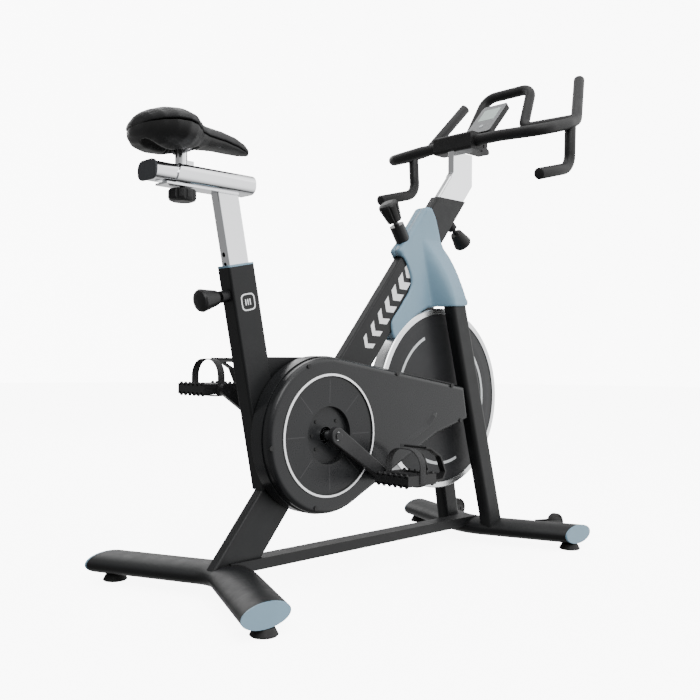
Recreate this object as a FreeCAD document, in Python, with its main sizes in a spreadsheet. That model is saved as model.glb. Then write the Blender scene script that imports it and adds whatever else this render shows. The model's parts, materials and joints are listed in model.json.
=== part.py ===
import FreeCAD, Part
import math
import os
import Sketcher

# Indoor cycling bike: welded diagonal-beam frame, belt driven flywheel at the front,
# telescoping seat and handlebar posts, V-shaped floor stabilisers.
# Frame: +X forward, +Y to the rider's left, +Z up, origin on the floor under the middle.

V = FreeCAD.Vector
doc = FreeCAD.newDocument("IndoorCycle")
sheet = doc.addObject("Spreadsheet::Sheet", "Dims")
sheet.Label = "dimensions"
_value = {}
_bound = []


def dim(name, value):
    """One driving dimension, written to the sheet as plain text with an alias."""
    _value.setdefault(name, value)
    return _value[name]


def fill_sheet():
    """Writes every dimension to the sheet and ties each size to its cell."""
    for n, name in enumerate(_value, 1):
        sheet.set("A%d" % n, name)
        sheet.set("B%d" % n, "%.5f" % _value[name])
        sheet.setAlias("B%d" % n, name)
    doc.recompute()
    for obj, prop, name in _bound:
        obj.setExpression(prop, "Dims." + name)


# ---- driving dimensions, millimetres and degrees ---------------------------------
MAIN = dict(
    origin_shift=498.2,
    beam_depth=87.0, beam_width=26.0, beam_wall=2.5, beam_round=6.0, beam_angle=50.7,
    column_depth=64.0, column_width=40.0, column_wall=2.8, column_round=5.0, column_lean=11.5,
    post_depth=50.0, post_width=25.0, post_wall=2.0,
    bar_post_depth=75.0, bar_post_width=18.0, bar_radius=14.0,
    stab_half_width=49.0, stab_half_height=22.25, stab_wall=3.0, stab_height=37.5,
    crank_x=309.0, crank_z=304.4, crank_length=170.0, crank_angle=33.2,
    wheel_x=737.0, wheel_z=367.0, flywheel_radius=220.0, flywheel_half_width=19.0,
    big_pulley_radius=105.0, small_pulley_radius=28.0, belt_thickness=3.0,
    leg_depth=54.0, leg_width=34.0, leg_round=10.0, leg_wall=2.5,
    cover_face=77.0, cover_round=162.0,
)
for k in sorted(MAIN):
    dim(k, MAIN[k])
D = dict(MAIN)
X0 = D["origin_shift"]


def P(x, y, z):
    return V(x - X0, y, z)


nodes = []


def node(obj, label, solids=1):
    """Marks obj as a finished sub-part called label, made of that many solids."""
    obj.Label = label
    nodes.append((label, obj, solids))
    return obj


def rot(axis, deg):
    return FreeCAD.Rotation(axis, deg)


def place(obj, base, rotation=None):
    obj.Placement = FreeCAD.Placement(base, rotation or FreeCAD.Rotation())
    return obj


def bind(obj, prop, name, value):
    dim(name, value)
    setattr(obj, prop, value)
    _bound.append((obj, prop, name))


def towards(d):
    return FreeCAD.Rotation(V(0, 0, 1), d)


# ---- primitives with every size in the sheet --------------------------------------
def cyl(name, r, height, base, direction=V(0, 0, 1), alias=None):
    o = doc.addObject("Part::Cylinder", name)
    bind(o, "Radius", (alias or name) + "_radius", r)
    bind(o, "Height", name + "_length", height)
    return place(o, base, towards(direction))


def ycyl(name, r, x, z, y0, y1):
    """Cylinder along Y between y0 < y1, on the axis (x, z)."""
    return cyl(name, r, y1 - y0, P(x, y0, z), V(0, 1, 0))


def cone(name, r1, r2, height, base, direction=V(0, 0, 1)):
    o = doc.addObject("Part::Cone", name)
    bind(o, "Radius1", name + "_radiusa", r1)
    bind(o, "Radius2", name + "_radiusb", r2)
    bind(o, "Height", name + "_length", height)
    return place(o, base, towards(direction))


def box(name, lx, ly, lz, centre, rotation=None):
    """Box centred on a point, turned by rotation."""
    o = doc.addObject("Part::Box", name)
    bind(o, "Length", name + "_lx", lx)
    bind(o, "Width", name + "_ly", ly)
    bind(o, "Height", name + "_lz", lz)
    r = rotation or FreeCAD.Rotation()
    return place(o, centre + r.multVec(V(-lx / 2.0, -ly / 2.0, -lz / 2.0)), r)


def bounds_box(name, lo, hi):
    c = (lo + hi) * 0.5
    return box(name, hi.x - lo.x, hi.y - lo.y, hi.z - lo.z, c)


def cut(name, base, *tools):
    tool = tools[0]
    if len(tools) > 1:
        tool = doc.addObject("Part::MultiFuse", name + "_tools")
        tool.Shapes = list(tools)
    o = doc.addObject("Part::Cut", name)
    o.Base, o.Tool = base, tool
    return o


def fuse(name, *shapes):
    o = doc.addObject("Part::MultiFuse", name)
    o.Shapes = list(shapes)
    return o


def common(name, a, b):
    o = doc.addObject("Part::Common", name)
    o.Base, o.Tool = a, b
    return o


def group(name, *shapes):
    """Separate identical solids that share one sub-part."""
    o = doc.addObject("Part::Compound", name)
    o.Links = list(shapes)
    return o


def mirror_y(name, source):
    o = doc.addObject("Part::Mirroring", name)
    o.Source = source
    o.Normal = V(0, 1, 0)
    o.Base = V(0, 0, 0)
    return o


# ---- PartDesign helpers -------------------------------------------------------------
def role(body, name):
    return [f for f in body.Origin.OriginFeatures if f.Role == name][0]


def new_body(name):
    return doc.addObject("PartDesign::Body", name)


def new_sketch(body, name, plane, offset=0.0):
    s = body.newObject("Sketcher::SketchObject", name)
    s.AttachmentSupport = [(role(body, plane), "")]
    s.MapMode = "FlatFace"
    s.AttachmentOffset = FreeCAD.Placement(V(0, 0, offset), FreeCAD.Rotation())
    return s


def rect(s, w_name, w, h_name, h):
    """Centred rectangle with both sides driven by the sheet."""
    dim(w_name, w)
    dim(h_name, h)
    p = [V(-w / 2, -h / 2, 0), V(w / 2, -h / 2, 0), V(w / 2, h / 2, 0), V(-w / 2, h / 2, 0)]
    for i in range(4):
        s.addGeometry(Part.LineSegment(p[i], p[(i + 1) % 4]), False)
    for i in range(4):
        s.addConstraint(Sketcher.Constraint("Coincident", i, 2, (i + 1) % 4, 1))
    for i in (0, 2):
        s.addConstraint(Sketcher.Constraint("Horizontal", i))
    for i in (1, 3):
        s.addConstraint(Sketcher.Constraint("Vertical", i))
    s.addConstraint(Sketcher.Constraint("Symmetric", 0, 1, 1, 2, -1, 1))
    c = s.addConstraint(Sketcher.Constraint("DistanceX", 0, 1, 0, 2, w))
    _bound.append((s, "Constraints[%d]" % c, w_name))
    c = s.addConstraint(Sketcher.Constraint("DistanceY", 1, 1, 1, 2, h))
    _bound.append((s, "Constraints[%d]" % c, h_name))
    return s


def closed(s, items):
    """Closed outline of lines ('l', (x, y)) and arcs ('a', centre, radius, a0, a1) given in order as edges."""
    n = len(items)
    for e in items:
        if e[0] == "l":
            s.addGeometry(Part.LineSegment(V(e[1][0], e[1][1], 0), V(e[2][0], e[2][1], 0)), False)
        else:
            c = Part.Circle(V(e[1][0], e[1][1], 0), V(0, 0, 1), e[2])
            s.addGeometry(Part.ArcOfCircle(c, e[3], e[4]), False)
    return s


def poly(s, pts):
    n = len(pts)
    for i in range(n):
        a, b = pts[i], pts[(i + 1) % n]
        s.addGeometry(Part.LineSegment(V(a[0], a[1], 0), V(b[0], b[1], 0)), False)
    for i in range(n):
        s.addConstraint(Sketcher.Constraint("Coincident", i, 2, (i + 1) % n, 1))
    return s


def circle(s, x, y, r, name=None):
    i = s.addGeometry(Part.Circle(V(x, y, 0), V(0, 0, 1), r), False)
    c = s.addConstraint(Sketcher.Constraint("Radius", i, r))
    if name:
        dim(name, r)
        _bound.append((s, "Constraints[%d]" % c, name))
    s.addConstraint(Sketcher.Constraint("DistanceX", -1, 1, i, 3, x))
    s.addConstraint(Sketcher.Constraint("DistanceY", -1, 1, i, 3, y))
    return i


def pad(body, sk, name, length, alias=None, midplane=False, reverse=False):
    f = body.newObject("PartDesign::Pad", name)
    f.Profile = sk
    bind(f, "Length", alias or (name + "_length"), length)
    if midplane:
        f.SideType = "Symmetric" if "SideType" in f.PropertiesList else f.SideType
    f.Reversed = reverse
    body.Tip = f
    return f


def pocket(body, sk, name, length, through=False, reverse=False, midplane=False):
    f = body.newObject("PartDesign::Pocket", name)
    f.Profile = sk
    if through:
        f.Type = "ThroughAll"
    else:
        bind(f, "Length", name + "_depth", length)
    if midplane:
        f.SideType = "Symmetric"
    f.Reversed = reverse
    body.Tip = f
    return f


def revolve(name, pts):
    """Body turned about its own Z axis from an (r, z) outline."""
    b = new_body(name)
    s = new_sketch(b, name + "_profile", "XZ_Plane")
    poly(s, pts)
    f = b.newObject("PartDesign::Revolution", name + "_turn")
    f.Profile = s
    f.ReferenceAxis = (s, ["V_Axis"])
    f.Angle = 360
    b.Tip = f
    return b


def edges_along(shape, d, tol=1e-4, keep=None):
    out = []
    for i, e in enumerate(shape.Edges):
        if isinstance(e.Curve, Part.Line):
            t = e.Curve.Direction
            if abs(abs(t.dot(d)) - 1) < tol and (keep is None or keep(e)):
                out.append("Edge%d" % (i + 1))
    return out


def fillet(body, base, name, edges, r):
    f = body.newObject("PartDesign::Fillet", name)
    f.Base = (base, edges)
    bind(f, "Radius", name + "_radius", r)
    body.Tip = f
    return f


def rounded_bar(name, w, h, length, r, w_alias=None, h_alias=None):
    """Body: rounded rectangle w (X) by h (Y), padded up Z from 0."""
    b = new_body(name)
    s = new_sketch(b, name + "_section", "XY_Plane")
    rect(s, w_alias or name + "_sx", w, h_alias or name + "_sy", h)
    p = pad(b, s, name + "_pad", length)
    doc.recompute()
    fillet(b, p, name + "_corner", edges_along(p.Shape, V(0, 0, 1)), r)
    doc.recompute()
    return b


def hollow(b, name, w, h, length):
    """Straight bore of a tube, from its bottom end up."""
    s = new_sketch(b, name, "XY_Plane")
    rect(s, name + "_sx", w, name + "_sy", h)
    before = b.Shape.Volume
    pocket(b, s, name + "_bore", length, through=True, reverse=True)
    doc.recompute()
    if b.Shape.Volume > before * 0.95:
        raise RuntimeError("the bore %s cut nothing" % name)
    return b


def bent_wire(name, pts, radii):
    """Path of straight runs joined by tangent arcs, one radius for each inner point."""
    pts = [V(*p) for p in pts]
    edges, start = [], pts[0]
    for i in range(1, len(pts) - 1):
        a, b, c = pts[i - 1], pts[i], pts[i + 1]
        u, w = (a - b).normalize(), (c - b).normalize()
        half = math.acos(max(-1, min(1, u.dot(w)))) / 2
        t = radii[i - 1] / math.tan(half)
        p, q = b + u * t, b + w * t
        mid_dir = (u + w).normalize()
        centre = b + mid_dir * (radii[i - 1] / math.sin(half))
        m = centre - mid_dir * radii[i - 1]
        edges.append(Part.LineSegment(start, p).toShape())
        edges.append(Part.Arc(p, m, q).toShape())
        start = q
    edges.append(Part.LineSegment(start, pts[-1]).toShape())
    f = doc.addObject("Part::Feature", name)
    f.Shape = Part.Wire(edges)
    return f


def tube_along(name, path, r, alias="bar_radius"):
    """Round bar swept along a bent wire."""
    first = path.Shape.OrderedEdges[0] if hasattr(path.Shape, "OrderedEdges") else path.Shape.Edges[0]
    p0 = path.Shape.OrderedVertexes[0].Point
    p1 = path.Shape.OrderedVertexes[1].Point
    c = doc.addObject("Part::Circle", name + "_section")
    bind(c, "Radius", alias, r)
    place(c, p0, towards(p1 - p0))
    s = doc.addObject("Part::Sweep", name)
    s.Sections = [c]
    s.Spine = (path, ["Edge%d" % (i + 1) for i in range(len(path.Shape.Edges))])
    s.Solid = True
    s.Frenet = False
    return s


# ---- frame directions ---------------------------------------------------------------
BEAM_TILT = 90 - D["beam_angle"]
R_BEAM = rot(V(0, 1, 0), BEAM_TILT)
B_AX = R_BEAM.multVec(V(0, 0, 1))
B_N = R_BEAM.multVec(V(1, 0, 0))
B_O = P(563, 0, 596)
R_COL = rot(V(0, 1, 0), -D["column_lean"])
C_AX = R_COL.multVec(V(0, 0, 1))
C_N = R_COL.multVec(V(1, 0, 0))
C_O = P(145.4, 0, 525.4)


def on_beam(u, y, w):
    return B_O + B_N * u + V(0, y, 0) + B_AX * w


def on_col(u, y, w):
    return C_O + C_N * u + V(0, y, 0) + C_AX * w


# brake rod line, sloping forward and down onto the flywheel
K_D = V(0.557, 0, -0.8305).normalize()
K_O = P(605, 0, 755)
R_K = towards(K_D * -1)

# ---- stabilisers ----------------------------------------------------------------------
def stabiliser(name, apex, slope, end_y=259.0, cap=4.0, sign=1):
    zc = D["stab_height"]
    far = 300.0
    pts = [(apex + slope * far - X0, -far, zc), (apex - X0, 0, zc), (apex + slope * far - X0, far, zc)]
    path = bent_wire(name + "_path", pts, [120.0])
    d = (V(*pts[1]) - V(*pts[0])).normalize()

    def swept(tag, a, b, a_name, b_name):
        c = doc.addObject("Part::Ellipse", name + tag + "_section")
        bind(c, "MajorRadius", a_name, a)
        bind(c, "MinorRadius", b_name, b)
        side = V(d.y, -d.x, 0)
        place(c, V(*pts[0]), FreeCAD.Rotation(side, V(0, 0, 1), d, "ZXY"))
        s = doc.addObject("Part::Sweep", name + tag)
        s.Sections = [c]
        s.Spine = (path, ["Edge1", "Edge2", "Edge3"])
        s.Solid = True
        s.Frenet = False
        return s

    wall = D["stab_wall"]
    outer = swept("_outer", D["stab_half_width"], D["stab_half_height"], "stab_half_width", "stab_half_height")
    inner = swept("_inner", D["stab_half_width"] - wall, D["stab_half_height"] - wall, "stab_bore_a", "stab_bore_b")
    shell = cut(name + "_shell", outer, inner)
    keep = box(name + "_keep", 400, 2 * end_y, 100, V(apex + slope * 130 - X0, 0, zc))
    tube = common(name + "_tube", shell, keep)
    caps = []
    for i, s in enumerate((-1, 1)):
        k = box(name + "_capbox%d" % i, 400, cap, 100, V(apex + slope * 262 - X0, s * (end_y + cap / 2), zc))
        caps.append(common(name + "_cap%d" % i, outer, k))
    return outer, tube, caps


REAR_APEX, REAR_SLOPE = 110.0, -0.4453
FRONT_APEX, FRONT_SLOPE = 868.0, 0.375
rear_outer, rear_tube, rear_caps = stabiliser("rear_stab", REAR_APEX, REAR_SLOPE)
front_outer, front_tube, front_caps = stabiliser("front_stab", FRONT_APEX, FRONT_SLOPE)
FEET = {
    "foot_rear_right": (REAR_APEX + REAR_SLOPE * 247, -247.0),
    "foot_rear_left": (REAR_APEX + REAR_SLOPE * 247, 247.0),
    "foot_front_right": (FRONT_APEX + FRONT_SLOPE * 243 - 2, -243.0),
    "foot_front_left": (FRONT_APEX + FRONT_SLOPE * 243 - 2, 243.0),
}
stud_holes = {n: cyl(n + "_stud_hole", 5.05, 14, P(x, y, 12), alias="stud_hole") for n, (x, y) in FEET.items()}
rear_stab = cut("rear_stabilizer_cut", rear_tube, stud_holes["foot_rear_right"], stud_holes["foot_rear_left"])
node(rear_stab, "rear_stabilizer")

# transport wheel brackets and their axle bolts are welded to the front stabiliser
WHEEL_C = (1022.0, 160.0, 41.0)
ears = []
for s in (-1, 1):
    for j, off in enumerate((-14.5, 14.5)):
        yc = s * WHEEL_C[1] + off
        b = new_body("wheel_ear_%s%d" % ("r" if s < 0 else "l", j))
        sk = new_sketch(b, b.Name + "_outline", "XZ_Plane")
        poly(sk, [(955 - X0, 22), (955 - X0, 58), (1022 - X0, 52), (1033 - X0, 41), (1022 - X0, 31)])
        pad(b, sk, b.Name + "_pad", 3.0, alias="wheel_ear_thickness")
        place(b, V(0, yc + 1.5, 0))
        ears.append(b)
    ears.append(ycyl("wheel_bolt_%s" % ("r" if s < 0 else "l"), 4.0, WHEEL_C[0], WHEEL_C[2], s * WHEEL_C[1] - 17.5, s * WHEEL_C[1] + 17.5))
ear_set = fuse("wheel_ears", *ears)
front_inner_clear = cut("wheel_ears_outside", ear_set, front_outer)
front_stab = fuse("front_stabilizer_join", cut("front_stabilizer_cut", front_tube, stud_holes["foot_front_right"], stud_holes["foot_front_left"]), front_inner_clear)
node(front_stab, "front_stabilizer")
node(group("end_cap_set", *(rear_caps + front_caps)), "end_caps", 4)

# ---- main beam ------------------------------------------------------------------------
beam = rounded_bar("beam_tube", D["beam_depth"], D["beam_width"], 1160, D["beam_round"], "beam_depth", "beam_width")
hollow(beam, "beam_bore", D["beam_depth"] - 2 * D["beam_wall"], D["beam_width"] - 2 * D["beam_wall"], 1160)
place(beam, on_beam(0, 0, -760), R_BEAM)
beam_env = box("beam_envelope", D["beam_depth"], D["beam_width"], 1160, on_beam(0, 0, -180), R_BEAM)
beam_wide = box("beam_wide_envelope", D["beam_depth"], 80, 1160, on_beam(0, 0, -180), R_BEAM)
above = bounds_box("above_beam", P(500, -60, 862), P(1100, 60, 1100))
below = bounds_box("below_beam", P(-50, -60, -60), P(250, 60, 41))
bb_hole = ycyl("bottom_bracket_hole", 24.0, D["crank_x"], D["crank_z"], -40, 40)
rod_hole = cyl("brake_rod_hole", 7.5, 200, K_O + K_D * -10, K_D)
PIN_H = 300.0
pin_hole_h = cyl("bar_pin_hole", 6.0, 40, on_beam(30, 0, PIN_H), B_N)
boss_h = cut("bar_pin_boss", cyl("bar_pin_boss_round", 12.0, 16, on_beam(D["beam_depth"] / 2 - 1, 0, PIN_H), B_N), pin_hole_h)
beam_cut = cut("beam_trim", beam, above, below, bb_hole, rod_hole, pin_hole_h, rear_outer)
node(fuse("main_beam_join", beam_cut, boss_h), "main_beam")

# ---- seat column ----------------------------------------------------------------------
col_top = 122.6
col = rounded_bar("column_tube", D["column_depth"], D["column_width"], col_top + 400, D["column_round"], "column_depth", "column_width")
hollow(col, "column_bore", D["column_depth"] - 2 * D["column_wall"], D["column_width"] - 2 * D["column_wall"], 600)
place(col, on_col(0, 0, -400), R_COL)
col_env = box("column_envelope", D["column_depth"], D["column_width"], col_top + 400, on_col(0, 0, (col_top - 400) / 2), R_COL)
beam_front = box("beam_front_half", 400, 120, 1200, on_beam(-D["beam_depth"] / 2 + 200, 0, -180), R_BEAM)
PIN_S = 68.0
pin_hole_s = cyl("seat_pin_hole", 6.0, 44, on_col(-20, 0, PIN_S), C_N * -1)
boss_s = cut("seat_pin_boss", cyl("seat_pin_boss_round", 12.0, 19, on_col(-D["column_depth"] / 2 + 1, 0, PIN_S), C_N * -1), pin_hole_s)
node(fuse("seat_column_join", cut("column_trim", col, beam_front, pin_hole_s), boss_s), "seat_column")

# ---- plastic sleeves that guide both posts ---------------------------------------------
sl_a = rounded_bar("seat_sleeve_block", 58.4, 34.4, 90, 2.2)
sl_a_lip = rounded_bar("seat_sleeve_lip", 64.0, 40.0, 4.0, 5.0)
place(sl_a, on_col(0, 0, col_top - 90), R_COL)
place(sl_a_lip, on_col(0, 0, col_top), R_COL)
sl_a_bore = box("seat_sleeve_bore", 50.6, 25.6, 200, on_col(0, 0, col_top - 40), R_COL)
sleeve_s = cut("seat_sleeve", fuse("seat_sleeve_join", sl_a, sl_a_lip), sl_a_bore, pin_hole_s)
sl_b = rounded_bar("bar_sleeve_block", 82.0, 21.0, 140, 3.4)
place(sl_b, on_beam(0, 0, 255), R_BEAM)
sl_b_bore = box("bar_sleeve_bore", 75.6, 18.6, 300, on_beam(0, 0, 330), R_BEAM)
sleeve_b = cut("bar_sleeve", sl_b, sl_b_bore, above, pin_hole_h)
node(group("post_sleeve_set", sleeve_s, sleeve_b), "post_sleeves", 2)

# ---- welded braces: top brace and floor bar ---------------------------------------------
brace = cut("top_brace", bounds_box("top_brace_block", P(150, -13, 420), P(430, 13, 466)), col_env, beam_env)
floor_b = cut("floor_bar", bounds_box("floor_bar_block", P(100, -20, 39.5), P(880, 20, 62)),
              bounds_box("floor_bar_void", P(90, -17.5, 42), P(890, 17.5, 59.5)), rear_outer, front_outer, beam_env)
brace_h = cut("top_brace_hollow", brace, bounds_box("top_brace_void", P(140, -10.5, 422.5), P(440, 10.5, 463.5)))
node(group("frame_brace_set", brace_h, floor_b), "frame_braces", 2)

# ---- fork legs ---------------------------------------------------------------------------
LEG_LO, LEG_UP = V(870 - X0, -69.0, 60.0), V(745 - X0, -50.0, 596.0)
leg_dir = (LEG_UP - LEG_LO).normalize()
leg_x = (V(1, 0, 0) - leg_dir * leg_dir.x).normalize()
R_LEG = FreeCAD.Rotation(leg_x, leg_dir.cross(leg_x), leg_dir, "ZXY")
leg_base = LEG_LO - leg_dir * 30
leg = rounded_bar("leg_tube", D["leg_depth"], D["leg_width"], 640, D["leg_round"], "leg_depth", "leg_width")
leg_room = rounded_bar("leg_room", D["leg_depth"] - 2 * D["leg_wall"], D["leg_width"] - 2 * D["leg_wall"], 660, D["leg_round"] - D["leg_wall"])
place(leg_room, leg_base - leg_dir * 10, R_LEG)
place(leg, leg_base, R_LEG)
leg_solid = rounded_bar("leg_envelope", D["leg_depth"], D["leg_width"], 640, D["leg_round"], "leg_depth", "leg_width")
place(leg_solid, leg_base, R_LEG)
leg_top = bounds_box("leg_top_cut", P(600, -120, 612), P(900, 0, 760))
leg_foot = bounds_box("leg_foot_cut", P(800, -120, 0), P(960, 0, 38))
leg_r = cut("fork_leg_right", leg, leg_room, front_outer, leg_top, leg_foot)
leg_env = cut("fork_leg_env", leg_solid, leg_top)
node(group("fork_leg_set", leg_r, mirror_y("fork_leg_left", leg_r)), "fork_legs", 2)

# crown blocks between the beam's sides and the legs, and the axle plates behind the legs
crown_b = new_body("crown_block")
sk = new_sketch(crown_b, "crown_outline", "XZ_Plane")
poly(sk, [(650 - X0, 622), (672 - X0, 690), (716 - X0, 742), (735 - X0, 735), (757 - X0, 648), (762 - X0, 604), (708 - X0, 602)])
pad(crown_b, sk, "crown_pad", 27.0)
place(crown_b, V(0, -D["beam_width"] / 2, 0))
doc.recompute()
crown = cut("crown_right", crown_b, leg_env)
plate_b = new_body("axle_plate")
sk = new_sketch(plate_b, "axle_plate_outline", "XZ_Plane")
poly(sk, [(712 - X0, 352), (722 - X0, 342), (800 - X0, 330), (800 - X0, 404), (722 - X0, 392), (712 - X0, 382)])
pad(plate_b, sk, "axle_plate_pad", 6.0)
place(plate_b, V(0, -44, 0))
axle_hole = ycyl("axle_plate_hole", 7.5, D["wheel_x"], D["wheel_z"], -70, -30)
plate = cut("axle_plate_right", plate_b, axle_hole, leg_env)
node(group("fork_bracket_set", crown, mirror_y("crown_left", crown), plate, mirror_y("axle_plate_left", plate)), "fork_brackets", 4)

# ---- bottom bracket, bearings --------------------------------------------------------------
CX, CZ = D["crank_x"], D["crank_z"]
bb = cut("bb_ring", ycyl("bb_outer", 24.0, CX, CZ, -24.3, 22), ycyl("bb_inner", 21.0, CX, CZ, -30, 30))
node(bb, "bottom_bracket")


def ring(name, r_out, r_in, x, z, y0, y1):
    return cut(name, ycyl(name + "_o", r_out, x, z, y0, y1), ycyl(name + "_i", r_in, x, z, y0 - 5, y1 + 5))


WX, WZ = D["wheel_x"], D["wheel_z"]
node(group("bearing_set",
           ring("bb_bearing_r", 21.0, 10.0, CX, CZ, -21, -9), ring("bb_bearing_l", 21.0, 10.0, CX, CZ, 9, 21),
           ring("hub_bearing_r", 17.5, 7.5, WX, WZ, -17, -6), ring("hub_bearing_l", 17.5, 7.5, WX, WZ, 6, 17)), "bearings", 4)
node(ycyl("wheel_axle", 7.5, WX, WZ, -62, 62), "flywheel_axle")


def hexagon(name, x, z, y0, thickness, half_flat):
    b = new_body(name)
    s = new_sketch(b, name + "_hex", "XZ_Plane")
    R = half_flat / math.cos(math.pi / 6)
    poly(s, [(x - X0 + R * math.cos(math.pi / 3 * i), z + R * math.sin(math.pi / 3 * i)) for i in range(6)])
    pad(b, s, name + "_pad", thickness)
    place(b, V(0, y0 + thickness, 0))
    return b


nut_r = cut("axle_nut_right", hexagon("nut_hex_r", WX, WZ, -59, 9, 11.5), ycyl("nut_bore_r", 7.5, WX, WZ, -70, -40))
nut_l = cut("axle_nut_left", hexagon("nut_hex_l", WX, WZ, 50, 9, 11.5), ycyl("nut_bore_l", 7.5, WX, WZ, 40, 70))
node(group("axle_nut_set", nut_r, nut_l), "axle_nuts", 2)

# ---- belt cover ------------------------------------------------------------------------------
def cover_outline(s, off, r_extra=0.0, nose=0.0):
    """Round end about the crank, tapering forward to a blunt end beside the fork leg."""
    r = D["cover_round"] + off + r_extra
    c = (CX - X0, CZ)
    a_up = math.radians(90 - 9.3)
    a_dn = math.radians(-64.4)
    up = (c[0] + r * math.cos(a_up), c[1] + r * math.sin(a_up))
    dn = (c[0] + r * math.cos(a_dn), c[1] + r * math.sin(a_dn))
    p1 = (651 - X0 + off * 0.25, 287 - off)
    p2 = (770 - X0 + off + nose, 317 - off)
    p3 = (754 - X0 + off + nose, 395.5 + off)
    # top line stays tangent to the round end
    closed(s, [("a", c, r, a_up, a_dn + 2 * math.pi), ("l", dn, p1), ("l", p1, p2), ("l", p2, p3), ("l", p3, up)])
    return s


def cover_shell(name, y_face, depth, off, wall, round_edge, opening, inner=False, nose=0.0):
    """Tray with its flat face at y_face, open on the other side."""
    b = new_body(name)
    s = new_sketch(b, name + "_outline", "XZ_Plane")
    cover_outline(s, off, nose=nose)
    p = pad(b, s, name + "_pad", depth)
    doc.recompute()
    face_v = depth if not inner else 0.0
    if round_edge:
        es = []
        for i, e in enumerate(p.Shape.Edges):
            if all(abs(v.Point.y + face_v) < 1e-6 for v in e.Vertexes):
                es.append("Edge%d" % (i + 1))
        fillet(b, p, name + "_edge", es, round_edge)
        doc.recompute()
    s2 = new_sketch(b, name + "_inside", "XZ_Plane", 0.0 if not inner else 0.0)
    cover_outline(s2, off - wall, nose=nose)
    v0 = b.Shape.Volume
    if inner:
        s2.AttachmentOffset = FreeCAD.Placement(V(0, 0, depth), FreeCAD.Rotation())
        f = pocket(b, s2, name + "_cavity", depth - wall)
    else:
        f = pocket(b, s2, name + "_cavity", depth - wall, reverse=True)
    doc.recompute()
    if b.Shape.Volume > v0 * 0.8:
        f.Reversed = not f.Reversed
        doc.recompute()
    if b.Shape.Volume > v0 * 0.8:
        raise RuntimeError("the cover cavity cut nothing")
    return b




def cover_block(name, off, depth, edge):
    """Solid cover shape with its outer face rounded, between y = -54 and y = -54 - depth."""
    b = new_body(name)
    s = new_sketch(b, name + "_outline", "XZ_Plane")
    cover_outline(s, off)
    p = pad(b, s, name + "_pad", depth)
    doc.recompute()
    es = ["Edge%d" % (i + 1) for i, e in enumerate(p.Shape.Edges) if all(abs(v.Point.y + depth) < 1e-6 for v in e.Vertexes)]
    fillet(b, p, name + "_edge", es, edge)
    place(b, V(0, -54, 0))
    doc.recompute()
    return b


outer_b = cut("cover_outer_tray", cover_block("cover_outer_form", 0.0, 23.0, 11.0), cover_block("cover_outer_room", -2.5, 20.5, 8.5),
              bounds_box("cover_outer_open", P(100, -53.999, 100), P(800, -53.9, 500)))
inner_b = cover_shell("cover_inner_tray", -22, 31.5, 2.5, 2.0, 0, 0, inner=True, nose=14.0)
place(inner_b, V(0, -22.5, 0))
face_hole = ycyl("cover_face_hole", 129.0, CX, CZ, -90, -60)
end_slot = bounds_box("cover_end_slot", P(745, -56, 322), P(790, -40, 392))
SCREWS = [(248, 448), (152, 288), (269, 158), (512, 430), (703, 400), (737, 315)]
screw_holes = [ycyl("cover_screw_hole%d" % i, 3.1, x, z, -90, -60) for i, (x, z) in enumerate(SCREWS)]
node(cut("cover_outer_cut", outer_b, face_hole, end_slot, *screw_holes), "cover_outer")
node(cut("cover_inner_cut", inner_b, ycyl("cover_bb_hole", 24.0, CX, CZ, -60, 0), ycyl("cover_hub_hole", 30.0, WX, WZ, -40, 0),
         bounds_box("cover_inner_slot", P(745, -55, 322), P(810, -40, 402)), bounds_box("cover_inner_leg_slot", P(762, -55, 296), P(810, -40, 330))), "cover_inner")

disc_b = revolve("cover_disc_turn", [(17.0, 60.0), (17.0, 62.5), (58.5, 62.5), (60.0, 73.5), (122.0, 76.0), (122.0, 72.0), (63.0, 70.0), (61.5, 60.0)])
place(disc_b, P(CX, 0, CZ), towards(V(0, -1, 0)))
node(disc_b, "cover_disc")
ring_b = revolve("cover_ring_turn", [(122.0, 73.0), (122.0, 78.2), (123.2, 79.2), (127.4, 79.2), (129.0, 77.6), (129.0, 73.0)])
place(ring_b, P(CX, 0, CZ), towards(V(0, -1, 0)))
node(ring_b, "cover_ring")
heads = []
for i, (x, z) in enumerate(SCREWS):
    heads.append(fuse("cover_screw%d" % i, ycyl("cover_screw_head%d" % i, 5.0, x, z, -79.2, -77.0), ycyl("cover_screw_shank%d" % i, 3.0, x, z, -77.5, -66)))
for i, a in enumerate((135, 180, 225, 0, 45)):
    x, z = CX + 40 * math.cos(math.radians(a)), CZ + 40 * math.sin(math.radians(a))
    heads.append(ycyl("disc_screw%d" % i, 3.6, x, z, -64.6, -62.5))
node(group("cover_screw_set", *heads), "cover_screws", len(heads))

# ---- drive: pulleys and belt --------------------------------------------------------------------
def loop_profile(s, r1, r2):
    """Outline round both pulleys: two arcs and their common tangents."""
    a, b = (CX - X0, CZ), (WX - X0, WZ)
    dx, dz = b[0] - a[0], b[1] - a[1]
    L = math.hypot(dx, dz)
    base = math.atan2(dz, dx)
    k = math.acos((r1 - r2) / L)
    pa = [(a[0] + r1 * math.cos(base + s_ * k), a[1] + r1 * math.sin(base + s_ * k)) for s_ in (1, -1)]
    pb = [(b[0] + r2 * math.cos(base + s_ * k), b[1] + r2 * math.sin(base + s_ * k)) for s_ in (1, -1)]
    closed(s, [("a", a, r1, base + k, base - k + 2 * math.pi), ("l", pa[1], pb[1]),
               ("a", b, r2, base - k, base + k), ("l", pb[0], pa[0])])


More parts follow.
